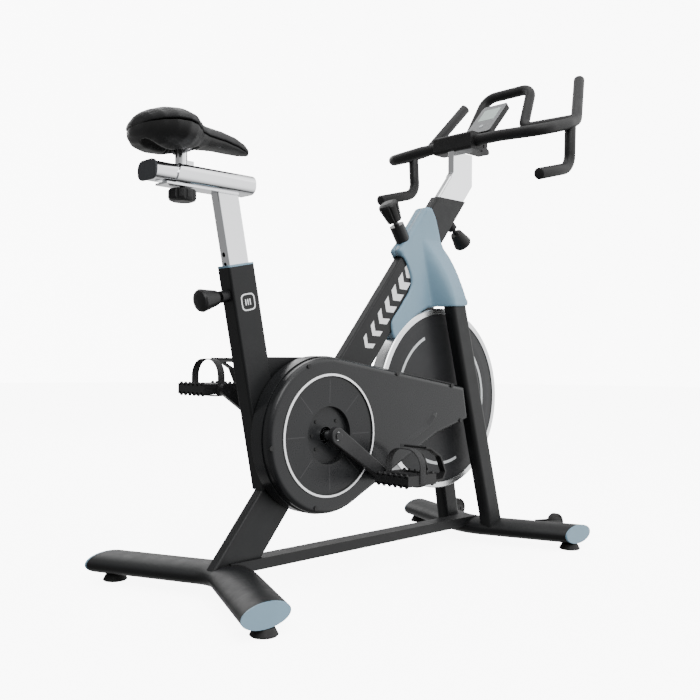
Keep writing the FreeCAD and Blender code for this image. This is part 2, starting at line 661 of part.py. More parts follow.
belt_b = new_body("belt_loop")
sk = new_sketch(belt_b, "belt_outside", "XZ_Plane")
loop_profile(sk, D["big_pulley_radius"] + 0.3 + D["belt_thickness"], D["small_pulley_radius"] + 0.3 + D["belt_thickness"])
pad(belt_b, sk, "belt_pad", 10.0)
doc.recompute()
sk = new_sketch(belt_b, "belt_inside", "XZ_Plane")
loop_profile(sk, D["big_pulley_radius"] + 0.3, D["small_pulley_radius"] + 0.3)
v0 = belt_b.Shape.Volume
f = pocket(belt_b, sk, "belt_hole", 30.0, through=True, reverse=True)
doc.recompute()
if belt_b.Shape.Volume > v0 * 0.8:
    f.Reversed = False
    doc.recompute()
place(belt_b, V(0, -27, 0))
node(belt_b, "drive_belt")

fly = revolve("flywheel_casting", [(17.53, -19.5), (33.0, -19.5), (33.0, -9.0), (206.2, -9.0), (206.2, -19.0), (218.0, -19.0), (220.0, -17.0),
                                   (220.0, 17.0), (218.0, 19.0), (206.2, 19.0), (206.2, 9.0), (33.0, 9.0), (33.0, 19.5), (17.53, 19.5)])
place(fly, P(WX, 0, WZ), towards(V(0, -1, 0)))
node(fly, "flywheel")
fc_r = revolve("flywheel_cover_turn", [(34.0, 9.0), (34.0, 20.6), (60.0, 20.9), (120.0, 20.4), (180.0, 19.0), (206.2, 17.2), (206.2, 9.0),
                                       (203.0, 9.0), (203.0, 14.6), (180.0, 16.4), (120.0, 17.8), (60.0, 18.3), (37.0, 18.0), (37.0, 9.0)])
place(fc_r, P(WX, 0, WZ), towards(V(0, -1, 0)))
node(group("flywheel_cover_set", fc_r, mirror_y("flywheel_cover_left", fc_r)), "flywheel_covers", 2)
fp = revolve("small_pulley_turn", [(8.0, 19.5), (26.0, 19.5), (26.0, 26.2), (30.0, 26.2), (30.0, 26.9), (28.0, 26.9), (28.0, 37.1), (30.0, 37.1), (30.0, 38.0), (8.0, 38.0)])
place(fp, P(WX, 0, WZ), towards(V(0, -1, 0)))
node(fp, "flywheel_pulley")

bp_ = revolve("big_pulley_turn", [(9.97, 25.0), (30.0, 25.0), (30.0, 28.0), (96.0, 30.0), (96.0, 26.2), (107.0, 26.2), (107.0, 26.9), (105.0, 26.9), (105.0, 37.1), (107.0, 37.1),
                                  (107.0, 38.0), (96.0, 38.0), (96.0, 34.0), (30.0, 34.0), (30.0, 42.0), (9.97, 42.0)])
lighten = [cyl("pulley_window%d" % i, 20.0, 60, P(CX, 0, CZ) + V(64 * math.cos(i * math.pi / 3), 0, 64 * math.sin(i * math.pi / 3)), V(0, -1, 0), alias="pulley_window") for i in range(6)]
place(bp_, P(CX, 0, CZ), towards(V(0, -1, 0)))
node(cut("drive_pulley_cut", bp_, *lighten), "drive_pulley")

# ---- cranks -----------------------------------------------------------------------------------------
axle_body = revolve("crank_axle_turn", [(0, -101), (9.0, -101), (9.0, -88), (9.97, -88), (9.97, 88), (9.0, 88), (9.0, 101), (0, 101)])
place(axle_body, P(CX, 0, CZ), towards(V(0, -1, 0)))
node(axle_body, "crank_axle")
CA = math.radians(-D["crank_angle"])
L_C = D["crank_length"]


def arm_outline(s, r1, r2, sign):
    a = (CX - X0, CZ)
    b = (a[0] + sign * L_C * math.cos(CA), a[1] + sign * L_C * math.sin(CA))
    base = math.atan2(b[1] - a[1], b[0] - a[0])
    k = math.acos((r1 - r2) / L_C)
    pa = [(a[0] + r1 * math.cos(base + q * k), a[1] + r1 * math.sin(base + q * k)) for q in (1, -1)]
    pb = [(b[0] + r2 * math.cos(base + q * k), b[1] + r2 * math.sin(base + q * k)) for q in (1, -1)]
    closed(s, [("a", a, r1, base + k, base - k + 2 * math.pi), ("l", pa[1], pb[1]), ("a", b, r2, base - k, base + k), ("l", pb[0], pa[0])])


PED = {"right": (CX + L_C * math.cos(CA), -1, CZ + L_C * math.sin(CA)), "left": (CX - L_C * math.cos(CA), 1, CZ - L_C * math.sin(CA))}
arms = []
for side, sg in (("right", 1), ("left", -1)):
    b = new_body("crank_arm_" + side)
    s = new_sketch(b, "crank_arm_%s_outline" % side, "XZ_Plane")
    arm_outline(s, 18.0, 13.5, sg)
    p = pad(b, s, "crank_arm_%s_pad" % side, 14.0, alias="crank_arm_thickness")
    doc.recompute()
    es = ["Edge%d" % (i + 1) for i, e in enumerate(p.Shape.Edges) if all(abs(v.Point.y + (14.0 if sg > 0 else 0.0)) < 1e-6 for v in e.Vertexes)]
    fillet(b, p, "crank_arm_%s_edge" % side, es, 3.0)
    place(b, V(0, -88.0, 0) if sg > 0 else V(0, 102.0, 0))
    px, sy, pz = PED[side]
    y0, y1 = (-110, -80) if sg > 0 else (80, 110)
    arms.append(cut("crank_arm_%s_bored" % side, b, ycyl("crank_seat_" + side, 9.0, CX, CZ, y0, y1), ycyl("pedal_thread_" + side, 7.0, px, pz, y0, y1)))
node(group("crank_arm_set", *arms), "crank_arms", 2)
fast = []
for side, sg in (("right", -1), ("left", 1)):
    px, sy, pz = PED[side]
    a, b_ = sorted((sg * 101.0, sg * 104.5))
    fast.append(ycyl("crank_bolt_" + side, 8.0, CX, CZ, a, b_))
    a, b_ = sorted((sg * 88.2, sg * 106.0))
    c, d_ = sorted((sg * 106.0, sg * 200.0))
    fast.append(fuse("pedal_spindle_" + side, ycyl("pedal_spindle_root_" + side, 7.0, px, pz, a, b_), ycyl("pedal_spindle_shaft_" + side, 5.0, px, pz, c, d_)))
node(group("crank_fastener_set", *fast), "crank_fasteners", 4)

# ---- pedals: platform, toe cage and strap -------------------------------------------------------------
def pedal(side, sg):
    px, sy, pz = PED[side]
    y_in, y_out = 110.0, 205.0
    yc = sg * (y_in + y_out) / 2
    body = bounds_box("pedal_block_" + side, P(px - 44, min(sg * y_in, sg * y_out), pz - 11), P(px + 44, max(sg * y_in, sg * y_out), pz + 11))
    wins = []
    for i, dx in enumerate((-25.5, 25.5)):
        wins.append(box("pedal_window_%s%d" % (side, i), 23, 62, 40, P(px + dx, yc, pz)))
    teeth = []
    for k, xs in enumerate((-44.0, 44.0)):
        for j in range(6):
            teeth.append(box("pedal_notch_%s%d%d" % (side, k, j), 7, 8, 9, P(px + xs, sg * (y_in + 8 + j * 15.8), pz - 11.0)))
            teeth.append(box("pedal_notchu_%s%d%d" % (side, k, j), 7, 8, 9, P(px + xs, sg * (y_in + 8 + j * 15.8), pz + 11.0)))
    y0, y1 = sorted((sg * (y_in - 5), sg * (y_out - 3)))
    bore = ycyl("pedal_bore_" + side, 5.05, px, pz, y0, y1)
    node(cut("pedal_cut_" + side, body, bore, *(wins + teeth)), "pedal_" + side)
    # toe cage: bent strip over the toe, fixed to the pedal's front edge
    cage_b = new_body("toe_cage_strip_" + side)
    s = new_sketch(cage_b, "toe_cage_side_" + side, "XZ_Plane")
    x, z = px - X0, pz
    poly(s, [(x + 44.0, z - 11), (x + 86, z - 9), (x + 97, z + 8), (x + 80, z + 44), (x + 42, z + 66), (x + 30, z + 66), (x + 30, z + 62), (x + 41, z + 62),
             (x + 76.5, z + 41.5), (x + 92.4, z + 8.5), (x + 83.5, z - 5), (x + 44.0, z - 7)])
    pad(cage_b, s, "toe_cage_pad_" + side, 64.0)
    place(cage_b, V(0, yc + 32.0, 0))
    doc.recompute()
    node(cut("toe_cage_cut_" + side, cage_b, box("toe_cage_window_" + side, 90, 34, 52, P(px + 92, yc, pz + 30))), "toe_cage_" + side)
    # strap: narrow loop across the foot just behind the cage
    ys = 47.5
    st = cut("toe_strap_band_" + side, bounds_box("toe_strap_out_" + side, P(px - 9, yc - ys - 2.4, pz - 16), P(px + 9, yc + ys + 2.4, pz + 64)),
             bounds_box("toe_strap_in_" + side, P(px - 19, yc - ys, pz - 13.5), P(px + 19, yc + ys, pz + 61.6)))
    y0, y1 = sorted((sg * (y_in - 12), sg * (y_in + 20)))
    node(cut("toe_strap_cut_" + side, st, ycyl("toe_strap_hole_" + side, 8.5, px, pz, y0, y1), *([])) , "toe_strap_" + side)


pedal("right", -1)
pedal("left", 1)

# ---- seat post, slider and saddle -----------------------------------------------------------------------
post = rounded_bar("seat_post_tube", D["post_depth"], D["post_width"], 340, 3.0, "post_depth", "post_width")
hollow(post, "seat_post_bore", D["post_depth"] - 2 * D["post_wall"], D["post_width"] - 2 * D["post_wall"], 340)
place(post, on_col(0, 0, -60), R_COL)
holes = [cyl("post_hole%d" % i, 5.0, 12, on_col(-19, 0, 28 + 20 * i), C_N * -1, alias="post_hole") for i in range(7)]
post_top = bounds_box("post_top_cut", P(-20, -40, 783.4), P(200, 40, 900))
node(cut("seat_post_cut", post, post_top, *holes), "seat_post")

SX0, SX1, SZ = -33.0, 146.0, 806.0
hous = rounded_bar("slider_sleeve_tube", 38.0, 64.0, SX1 - SX0, 17.0)
place(hous, P(SX0, 0, SZ), FreeCAD.Rotation(V(0, 0, -1), V(0, 1, 0), V(1, 0, 0), "ZXY"))
inner_s = rounded_bar("slider_sleeve_bore", 33.0, 59.0, 300, 14.5)
place(inner_s, P(SX0 - 50, 0, SZ), FreeCAD.Rotation(V(0, 0, -1), V(0, 1, 0), V(1, 0, 0), "ZXY"))
KX = -5.0
s_slot = bounds_box("slider_top_slot", P(SX0 - 20, -16, SZ + 8), P(SX1 + 20, 16, SZ + 40))
slant = box("slider_rear_slant", 60, 90, 90, P(SX0 - 30 + 4, 0, SZ + 14), rot(V(0, 1, 0), 24))
k_hole = cyl("slider_knob_hole", 5.4, 60, P(KX, 0, 760))
plate_u = bounds_box("slider_plate", P(-51, -20, 783.6), P(112, 20, 787.6))
hous_j = fuse("slider_housing_join", cut("slider_sleeve_open", hous, inner_s, s_slot, slant), cut("slider_plate_cut", plate_u, inner_s))
node(cut("slider_housing_cut", hous_j, k_hole), "slider_housing")

TX0 = -78.0
tube_s = rounded_bar("slider_tube_bar", 32.2, 58.2, 196, 14.2)
place(tube_s, P(TX0, 0, SZ), FreeCAD.Rotation(V(0, 0, -1), V(0, 1, 0), V(1, 0, 0), "ZXY"))
hollow_s = rounded_bar("slider_tube_bore", 27.2, 53.2, 260, 11.7)
place(hollow_s, P(TX0 - 20, 0, SZ), FreeCAD.Rotation(V(0, 0, -1), V(0, 1, 0), V(1, 0, 0), "ZXY"))
tube_cut = cut("slider_tube_cut", tube_s, hollow_s)
cap_b = rounded_bar("slider_cap_r", 37.0, 63.0, 4.0, 16.5)
place(cap_b, P(TX0 - 4.05, 0, SZ), FreeCAD.Rotation(V(0, 0, -1), V(0, 1, 0), V(1, 0, 0), "ZXY"))
cap_f = rounded_bar("slider_cap_f", 31.6, 57.6, 3.0, 13.8)
place(cap_f, P(TX0 + 196.05, 0, SZ), FreeCAD.Rotation(V(0, 0, -1), V(0, 1, 0), V(1, 0, 0), "ZXY"))
node(tube_cut, "slider_tube")
node(group("slider_cap_set", cap_b, cap_f), "slider_caps", 2)

STX = -8.0
stem = fuse("saddle_stem_join", cyl("saddle_stem_post", 11.5, 38.0, P(STX, 0, SZ + 16.1)),
            bounds_box("saddle_stem_fin", P(STX - 2, -4, SZ + 16.1), P(STX + 26, 4, SZ + 30)),
            ycyl("saddle_pivot_pin", 6.0, STX, 858.0, -24, 24),
            cyl("saddle_stem_head", 11.5, 10, P(STX, 0, 853)))
node(stem, "saddle_stem")

ear_parts = [ycyl("saddle_ear_%d" % i, 10.5, STX, 858.0, min(a, b), max(a, b)) for i, (a, b) in enumerate(((-21, -12.2), (12.2, 21)))]
rail_top = bounds_box("saddle_rail_plate", P(STX - 18, -24, 865.5), P(STX + 18, 24, 869.5))
webs = [bounds_box("saddle_ear_web%d" % i, P(STX - 10.5, min(a, b), 858), P(STX + 10.5, max(a, b), 867)) for i, (a, b) in enumerate(((-21, -12.2), (12.2, 21)))]
rails = [cyl("saddle_rail%d" % i, 3.5, 146, P(-80, s * 21.5, 871.0), V(1, 0, 0), alias="saddle_rail") for i, s in enumerate((-1, 1))]
rail_set = cut("saddle_rails_cut", fuse("saddle_rails_join", rail_top, *(ear_parts + webs + rails)), ycyl("saddle_pivot_bore", 6.06, STX, 858.0, -30, 30))
node(rail_set, "saddle_rails")

# saddle envelope: ellipses across X, wide at the rear, narrow at the nose
SADDLE = [(-101, 28, 880, 11), (-94, 54, 881, 24), (-80, 78, 883, 35), (-58, 94, 885, 40), (-36, 96, 885, 40), (-14, 82, 885, 36), (8, 58, 886, 29),
          (32, 42, 886, 23), (76, 34, 884, 19), (118, 28, 879, 16), (138, 20, 875, 11), (147, 8, 873, 5)]
secs = []
for i, (x, hw, zc, hh) in enumerate(SADDLE):
    e = doc.addObject("Part::Ellipse", "saddle_section%d" % i)
    a, b_ = max(hw, hh), min(hw, hh)
    bind(e, "MajorRadius", "saddle_half_width%d" % i, a)
    bind(e, "MinorRadius", "saddle_half_height%d" % i, b_)
    place(e, P(x, 0, zc), FreeCAD.Rotation(V(0, 1, 0), V(0, 0, 1), V(1, 0, 0), "ZXY"))
    secs.append(e)
loft = doc.addObject("Part::Loft", "saddle_form")
loft.Sections = secs
loft.Solid = True
loft.Ruled = False
split = box("saddle_split", 400, 300, 100, P(10, 0, 0) + V(0, 0, 826.5), rot(V(0, 1, 0), -1.2))
recess = bounds_box("saddle_recess", P(-80, -30, 800), P(66, 30, 876.2))
base = cut("saddle_base_cut", common("saddle_base_form", loft, split), recess)
pad_s = cut("saddle_pad_cut", loft, split)
node(base, "saddle_base")
node(pad_s, "saddle_pad")

kb = revolve("slider_knob_turned", [(0, 0), (19.0, 0), (24.5, 2.5), (26.5, 7.0), (26.5, 19.5), (24.0, 23.0), (0, 23.0)])
place(kb, P(KX, 0, 757))
sk_parts = [kb, cyl("slider_knob_screw", 5.0, 18.0 + 11.2, P(KX, 0, 759))]
flutes = [cyl("slider_knob_flute%d" % i, 4.6, 40, P(KX + 29.3 * math.cos(i * math.pi / 5), 29.3 * math.sin(i * math.pi / 5), 750), alias="slider_knob_flute") for i in range(10)]
node(fuse("slider_knob_join", cut("slider_knob_fluted", sk_parts[0], *flutes), sk_parts[1]), "slider_knob")

# ---- handlebar post, clamp and bars -----------------------------------------------------------------------
hp_low = rounded_bar("bar_post_low", D["bar_post_depth"], D["bar_post_width"], 225, 4.0, "bar_post_depth", "bar_post_width")
place(hp_low, on_beam(0, 0, 225), R_BEAM)
kink = on_beam(0, 0, 425)
half = D["bar_post_depth"] / 2
up_b = new_body("bar_post_up")
s = new_sketch(up_b, "bar_post_up_side", "XZ_Plane")
# the bend: the lower part is cut on the mitre line, the upper part stands upright
z_top = 986.0
rear_l = on_beam(-half, 0, 425)
rear_x = 790.0 - X0
front_x = rear_x + D["bar_post_depth"]
a = on_beam(-half, 0, 390)
b_ = on_beam(half, 0, 340)
# where the beam-side edges meet the upright edges
def edge_z(u, x):
    p0 = on_beam(u, 0, 0)
    t = (x - p0.x) / B_AX.x
    return p0.z + B_AX.z * t
zr, zf = edge_z(-half, rear_x), edge_z(half, front_x)
poly(s, [(a.x, a.z), (rear_x, zr), (rear_x, z_top), (front_x, z_top), (front_x, zf), (b_.x, b_.z)])
p = pad(up_b, s, "bar_post_up_pad", D["bar_post_width"], alias="bar_post_width")
place(up_b, V(0, D["bar_post_width"] / 2, 0))
doc.recompute()
mitre = box("bar_post_low_trim", 300, 60, 200, on_beam(0, 0, 395 + 100), R_BEAM)
hp = fuse("bar_post_join", cut("bar_post_low_cut", hp_low, mitre), up_b)
hp_bore = box("bar_post_bore", D["bar_post_depth"] - 5, D["bar_post_width"] - 5, 260, on_beam(0, 0, 225 + 60), R_BEAM)
bar_holes = [cyl("bar_post_hole%d" % i, 5.0, 12, on_beam(33, 0, 262 + 20 * i), B_N, alias="bar_post_hole") for i in range(6)]
node(cut("bar_post_cut", hp, hp_bore, *bar_holes), "handlebar_post")

BAR_Z = 1009.0
tip, corner, side_p, bend, inner_p = (1086, 186, 1193), (984, 240, 1058), (925, 256, 1034), (822, 246, 1003), (818, 128, BAR_Z)


def mir(p):
    return (p[0], -p[1], p[2])


def loc(p):
    return (p[0] - X0, p[1], p[2])


main_pts = [tip, corner, side_p, bend, inner_p]
main_pts = [loc(p) for p in main_pts + [mir(q) for q in reversed(main_pts)]]
w_main = bent_wire("bar_main_path", main_pts, [48, 90, 45, 220, 220, 45, 90, 48])
w_loop = bent_wire("bar_loop_path", [loc(q) for q in [(978, 232, 1058), (974, 90, 1062), (1036, 74, 1184), (1036, -74, 1184), (974, -90, 1062), (978, -232, 1058)]], [26, 34, 34, 26])
w_drop_l = bent_wire("bar_drop_left_path", [loc(q) for q in [(934, 254, 1034), (937, 250, 930), (797, 254.5, 894)]], [38])
w_drop_r = bent_wire("bar_drop_right_path", [loc(mir(q)) for q in [(934, 254, 1034), (937, 250, 930), (797, 254.5, 894)]], [38])
doc.recompute()
bars = [tube_along("bar_main", w_main, D["bar_radius"]), tube_along("bar_loop", w_loop, D["bar_radius"] - 0.4, alias="loop_radius"),
        tube_along("bar_drop_left", w_drop_l, D["bar_radius"] - 0.2, alias="drop_radius"), tube_along("bar_drop_right", w_drop_r, D["bar_radius"] - 0.2, alias="drop_radius")]
node(fuse("handlebar_join", *bars), "handlebar")

clamp_core = rounded_bar("clamp_block", 50.0, 44.0, 120.0, 8.0)
place(clamp_core, P(817, -60, 1008.05), FreeCAD.Rotation(V(1, 0, 0), V(0, 0, 1), V(0, 1, 0), "ZXY"))
clamp_arm = bounds_box("clamp_arm", P(838, -15, 996), P(922, 15, 1012))
clamp_nose = cyl("clamp_nose", 8.0, 30, P(922, -15, 1004), V(0, 1, 0))
clamp_stand = box("clamp_stand", 14, 30, 70, P(915, 0, 1036))
C_T = 47.3
R_CON = rot(V(0, 1, 0), -C_T)
CON_C = P(937, 0, 1097.5)
con_n = R_CON.multVec(V(0, 0, 1))
con_u = R_CON.multVec(V(1, 0, 0))


def on_con(u, y, n):
    return CON_C + con_u * u + V(0, y, 0) + con_n * n


con_env = box("console_envelope", 180, 90, 60, on_con(0, 0, -16 + 30.0), R_CON)
clamp_j = cut("clamp_cut", fuse("clamp_join", clamp_core, clamp_arm, clamp_nose, clamp_stand), ycyl("clamp_bore", D["bar_radius"], 818, BAR_Z, -80, 80), con_env,
              bounds_box("clamp_arm_slot", P(862, -20, 1001), P(900, 20, 1007)))
node(clamp_j, "handlebar_clamp")

con = rounded_bar("console_block", 121.0, 78.0, 16.0, 8.0)
place(con, on_con(0, 0, -16), R_CON)
lens_cut = box("console_lens_pocket", 50, 52, 3.0, on_con(18, 0, -0.5), R_CON)
but_cut = cyl("console_button_hole", 6.3, 10, on_con(-34, 0, -7), con_n)
node(cut("console_cut", con, lens_cut, but_cut), "console_body")
node(box("console_lens_plate", 49.6, 51.6, 2.2, on_con(18, 0, -0.9), R_CON), "console_lens")
node(cyl("console_button_cap", 6.0, 5.6, on_con(-34, 0, -4.4), con_n), "console_button")

# ---- brake guide, rod and resistance knob --------------------------------------------------------------------
guide = cut("brake_guide_cut", cyl("brake_guide_tube", 17.5, 90, K_O - K_D * 28, K_D), cyl("brake_guide_bore", 6.6, 120, K_O - K_D * 40, K_D), beam_env,
            box("brake_guide_end", 200, 80, 200, on_beam(100 - D["beam_depth"] / 2, 0, 150), R_BEAM))
node(guide, "brake_guide")
rod_body = fuse("brake_rod_join", cyl("brake_rod_shaft", 6.0, 212.5, K_O - K_D * 36.5, K_D), cyl("brake_rod_spindle", 4.95, 24, K_O - K_D * 60, K_D),
                cut("brake_pad_shaped", box("brake_pad_block", 34, 24, 34, K_O + K_D * 181, R_K), ycyl("brake_pad_face", D["flywheel_radius"] + 8.5, WX, WZ, -40, 40)))
node(rod_body, "brake_rod")
kn = revolve("resistance_knob_turn", [(0, 0), (16.0, 0), (17.4, 2), (24.0, 36), (24.6, 41), (22.0, 46), (14.0, 49), (0, 50)])
place(kn, K_O - K_D * 38.0, R_K)
kn_fl = [cyl("resistance_flute%d" % i, 3.6, 46, (K_O - K_D * 36) + R_K.multVec(V(19.4 * math.cos(i * math.pi / 4), 19.4 * math.sin(i * math.pi / 4), 0)), K_D * -1 + R_K.multVec(V(math.cos(i * math.pi / 4), math.sin(i * math.pi / 4), 0)) * 0.16, alias="resistance_flute") for i in range(8)]
node(cut("resistance_knob_cut", kn, cyl("resistance_knob_bore", 5.0, 24, K_O - K_D * 60.5, K_D), *kn_fl), "resistance_knob")

# ---- pull pins: plunger, neck and domed knob --------------------------------------------------------------------
def pull_pin(label, origin, direction, neck, tip_in):
    """Turned plunger with its knob; z = 0 is the outer end of the boss."""
    r = towards(direction)
    b = revolve(label + "_turn", [(0, -tip_in), (5.0, -tip_in), (5.0, neck), (14.0, neck), (15.2, neck + 2), (21.6, neck + 31), (22.8, neck + 36),
                                  (20.5, neck + 41), (13.0, neck + 44), (0, neck + 45)])
    place(b, origin, r)
    fl = []
    for i in range(8):
        a = i * math.pi / 4
        out = r.multVec(V(math.cos(a), math.sin(a), 0))
        fl.append(cyl(label + "_flute%d" % i, 4.0, 42, origin + direction * (neck - 3) + out * 18.6, direction + out * 0.20, alias="pin_flute"))
    node(cut(label + "_cut", b, *fl), label)


pull_pin("seat_pin", on_col(-D["column_depth"] / 2 - 18, 0, PIN_S), C_N * -1, 8.0, 18 + D["column_depth"] / 2 - 25.7)
pull_pin("handlebar_pin", on_beam(D["beam_depth"] / 2 + 15, 0, PIN_H), B_N, 16.0, 15 + D["beam_depth"] / 2 - 38.0)

# ---- transport wheels and levelling feet ----------------------------------------------------------------------------
for side, sg in (("right", -1), ("left", 1)):
    w = revolve("transport_wheel_%s_turn" % side, [(4.06, -11), (9.0, -11), (9.0, -8), (20, -8), (23, -10), (25.5, -9), (27.0, -6), (27.0, 6), (25.5, 9), (23, 10), (20, 8), (9.0, 8), (9.0, 11), (4.06, 11)])
    place(w, P(WHEEL_C[0], sg * WHEEL_C[1], WHEEL_C[2]), towards(V(0, -1, 0)))
    node(w, "transport_wheel_" + side)
for n, (x, y) in FEET.items():
    f = revolve(n + "_turn", [(0, 0), (23.0, 0), (25.0, 2.0), (24.2, 4.0), (19.2, 13.0), (18.0, 14.6), (5.0, 14.6), (5.0, 34.0), (0, 34.0)])
    place(f, P(x, y, 0))
    node(f, n)

# ---- shroud over the beam and the fork crown ----------------------------------------------------------------------------
def outline(name, pts, y):
    w = doc.addObject("Part::Feature", name)
    v = [V(x - X0, y, z) for x, z in pts]
    w.Shape = Part.makePolygon(v + [v[0]])
    return w


A_OUT = [(671, 832), (694, 834), (714, 806), (741, 744), (770, 690), (776, 612), (700, 600), (640, 571), (583, 533), (562, 512), (553, 545), (582, 582), (618, 622), (623, 648), (600, 700), (590, 722), (622, 758)]
B_OUT = [(669, 820), (688, 822), (706, 800), (732, 742), (765, 690), (779, 609), (700, 596), (640, 567), (583, 530), (564, 516), (559, 545), (586, 580), (622, 620), (628, 648), (612, 697), (606, 716), (626, 752)]
C_OUT = [(728, 690), (733, 692), (738, 690), (745, 680), (757, 660), (777, 606), (716, 596), (704, 600), (697, 606), (694, 612), (693, 622), (696, 634), (700, 646), (706, 660), (712, 672), (718, 680), (723, 686)]


def inset(pts, d):
    n, out = len(pts), []
    area = sum(pts[i][0] * pts[(i + 1) % n][1] - pts[(i + 1) % n][0] * pts[i][1] for i in range(n))
    sgn = 1 if area > 0 else -1
    for i in range(n):
        a, b, c = pts[i - 1], pts[i], pts[(i + 1) % n]
        n1 = (-(b[1] - a[1]) * sgn, (b[0] - a[0]) * sgn)
        n2 = (-(c[1] - b[1]) * sgn, (c[0] - b[0]) * sgn)
        l1, l2 = math.hypot(*n1), math.hypot(*n2)
        m = (n1[0] / l1 + n2[0] / l2, n1[1] / l1 + n2[1] / l2)
        lm = math.hypot(*m)
        k = d / max(0.6, lm / 2) / lm
        out.append((b[0] + m[0] * k, b[1] + m[1] * k))
    return out


def loft_between(name, sections):
    """Solid of flat-sided layers, one between each pair of neighbouring outlines."""
    layers = []
    for i in range(len(sections) - 1):
        w = []
        for j, (pts, y) in enumerate(sections[i:i + 2]):
            w.append(outline("%s_outline%d%d" % (name, i, j), pts, y))
        l = doc.addObject("Part::Loft", "%s_layer%d" % (name, i))
        l.Sections = w
        l.Solid = True
        l.Ruled = True
        layers.append(l)
    return fuse(name, *layers) if len(layers) > 1 else layers[0]


sh_out = loft_between("shroud_outer", [(A_OUT, -0.15), (A_OUT, -15.0), (B_OUT, -27.0), (C_OUT, -69.5)])
sh_in = loft_between("shroud_inner", [(inset(A_OUT, 3.0), 2.0), (inset(A_OUT, 3.0), -15.0), (inset(B_OUT, 3.0), -25.0), (inset(C_OUT, 3.0), -66.5)])
wheel_room = ycyl("shroud_wheel_room", D["flywheel_radius"] + 6.0, WX, WZ, -27.0, 27.0)
guide_env = cyl("shroud_guide_room", 17.6, 110, K_O - K_D * 48, K_D)
pad_room = box("shroud_pad_room", 44, 28, 80, K_O + K_D * 186, R_K)
sh_r = cut("shroud_right_cut", sh_out, sh_in, beam_env, leg_env, crown, wheel_room, guide_env, pad_room)
node(sh_r, "shroud_right", None)
node(mirror_y("shroud_left_mirror", sh_r), "shroud_left", None)

# ---- check and write ----------------------------------------------------------------------------------------------------
fill_sheet()
doc.recompute()
bad = [o.Name for o in doc.Objects if "Invalid" in o.State or "Error" in o.State]
if bad:
    raise RuntimeError("failed objects: %s" % bad)
os.makedirs("parts", exist_ok=True)
labels = [n[0] for n in nodes]
if len(set(labels)) != len(labels) or len(labels) > 60:
    raise RuntimeError("labels are repeated or too many: %d" % len(labels))
lo, hi = V(1e9, 1e9, 1e9), V(-1e9, -1e9, -1e9)
problems = []
for label, obj, count in nodes:
    shape = obj.Shape
    if shape.isNull() or not shape.isValid():
        problems.append("%s is null or not valid" % label)
        continue
    if not shape.Solids or (count is not None and len(shape.Solids) != count):
        problems.append("%s has %d solids" % (label, len(shape.Solids)))
    bb_ = shape.BoundBox
    lo = V(min(lo.x, bb_.XMin), min(lo.y, bb_.YMin), min(lo.z, bb_.ZMin))
    hi = V(max(hi.x, bb_.XMax), max(hi.y, bb_.YMax), max(hi.z, bb_.ZMax))
if problems:
    raise RuntimeError("; ".join(problems))
for label, obj, count in nodes:
    obj.Shape.exportStep("parts/%s.step" % label)
print("nodes %d, size %.1f x %.1f x %.1f mm, x centre %.2f, y centre %.2f, z low %.2f" % (
    len(nodes), hi.x - lo.x, hi.y - lo.y, hi.z - lo.z, (hi.x + lo.x) / 2, (hi.y + lo.y) / 2, lo.z))
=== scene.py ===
import json
import math
import bpy
import bmesh
from mathutils import Matrix, Vector


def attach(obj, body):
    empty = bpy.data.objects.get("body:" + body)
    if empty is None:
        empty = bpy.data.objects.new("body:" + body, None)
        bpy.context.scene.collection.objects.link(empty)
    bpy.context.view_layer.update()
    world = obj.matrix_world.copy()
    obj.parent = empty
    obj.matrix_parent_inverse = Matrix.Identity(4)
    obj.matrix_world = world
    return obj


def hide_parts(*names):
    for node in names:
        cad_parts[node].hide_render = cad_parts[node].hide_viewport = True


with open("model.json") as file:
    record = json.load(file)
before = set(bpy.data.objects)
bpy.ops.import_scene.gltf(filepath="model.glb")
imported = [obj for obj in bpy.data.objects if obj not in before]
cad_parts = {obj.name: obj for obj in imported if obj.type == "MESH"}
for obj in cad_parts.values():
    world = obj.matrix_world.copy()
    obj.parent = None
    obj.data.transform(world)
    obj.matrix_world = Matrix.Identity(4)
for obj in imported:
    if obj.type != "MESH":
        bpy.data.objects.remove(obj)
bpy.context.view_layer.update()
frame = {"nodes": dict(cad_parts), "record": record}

NODES = frame["nodes"]
X0 = 498.2


def P(x, y, z):
    return Vector(((x - X0) / 1000.0, y / 1000.0, z / 1000.0))


B_AX = Vector((0.63338, 0, 0.77384))
B_N = Vector((0.77384, 0, -0.63338))
B_O = P(563, 0, 596)
C_AX = Vector((-0.19937, 0, 0.97992))
C_N = Vector((0.97992, 0, 0.19937))
C_O = P(145.4, 0, 525.4)
CRANK = P(309, 0, 304.4)
WHEEL = P(737, 0, 367)

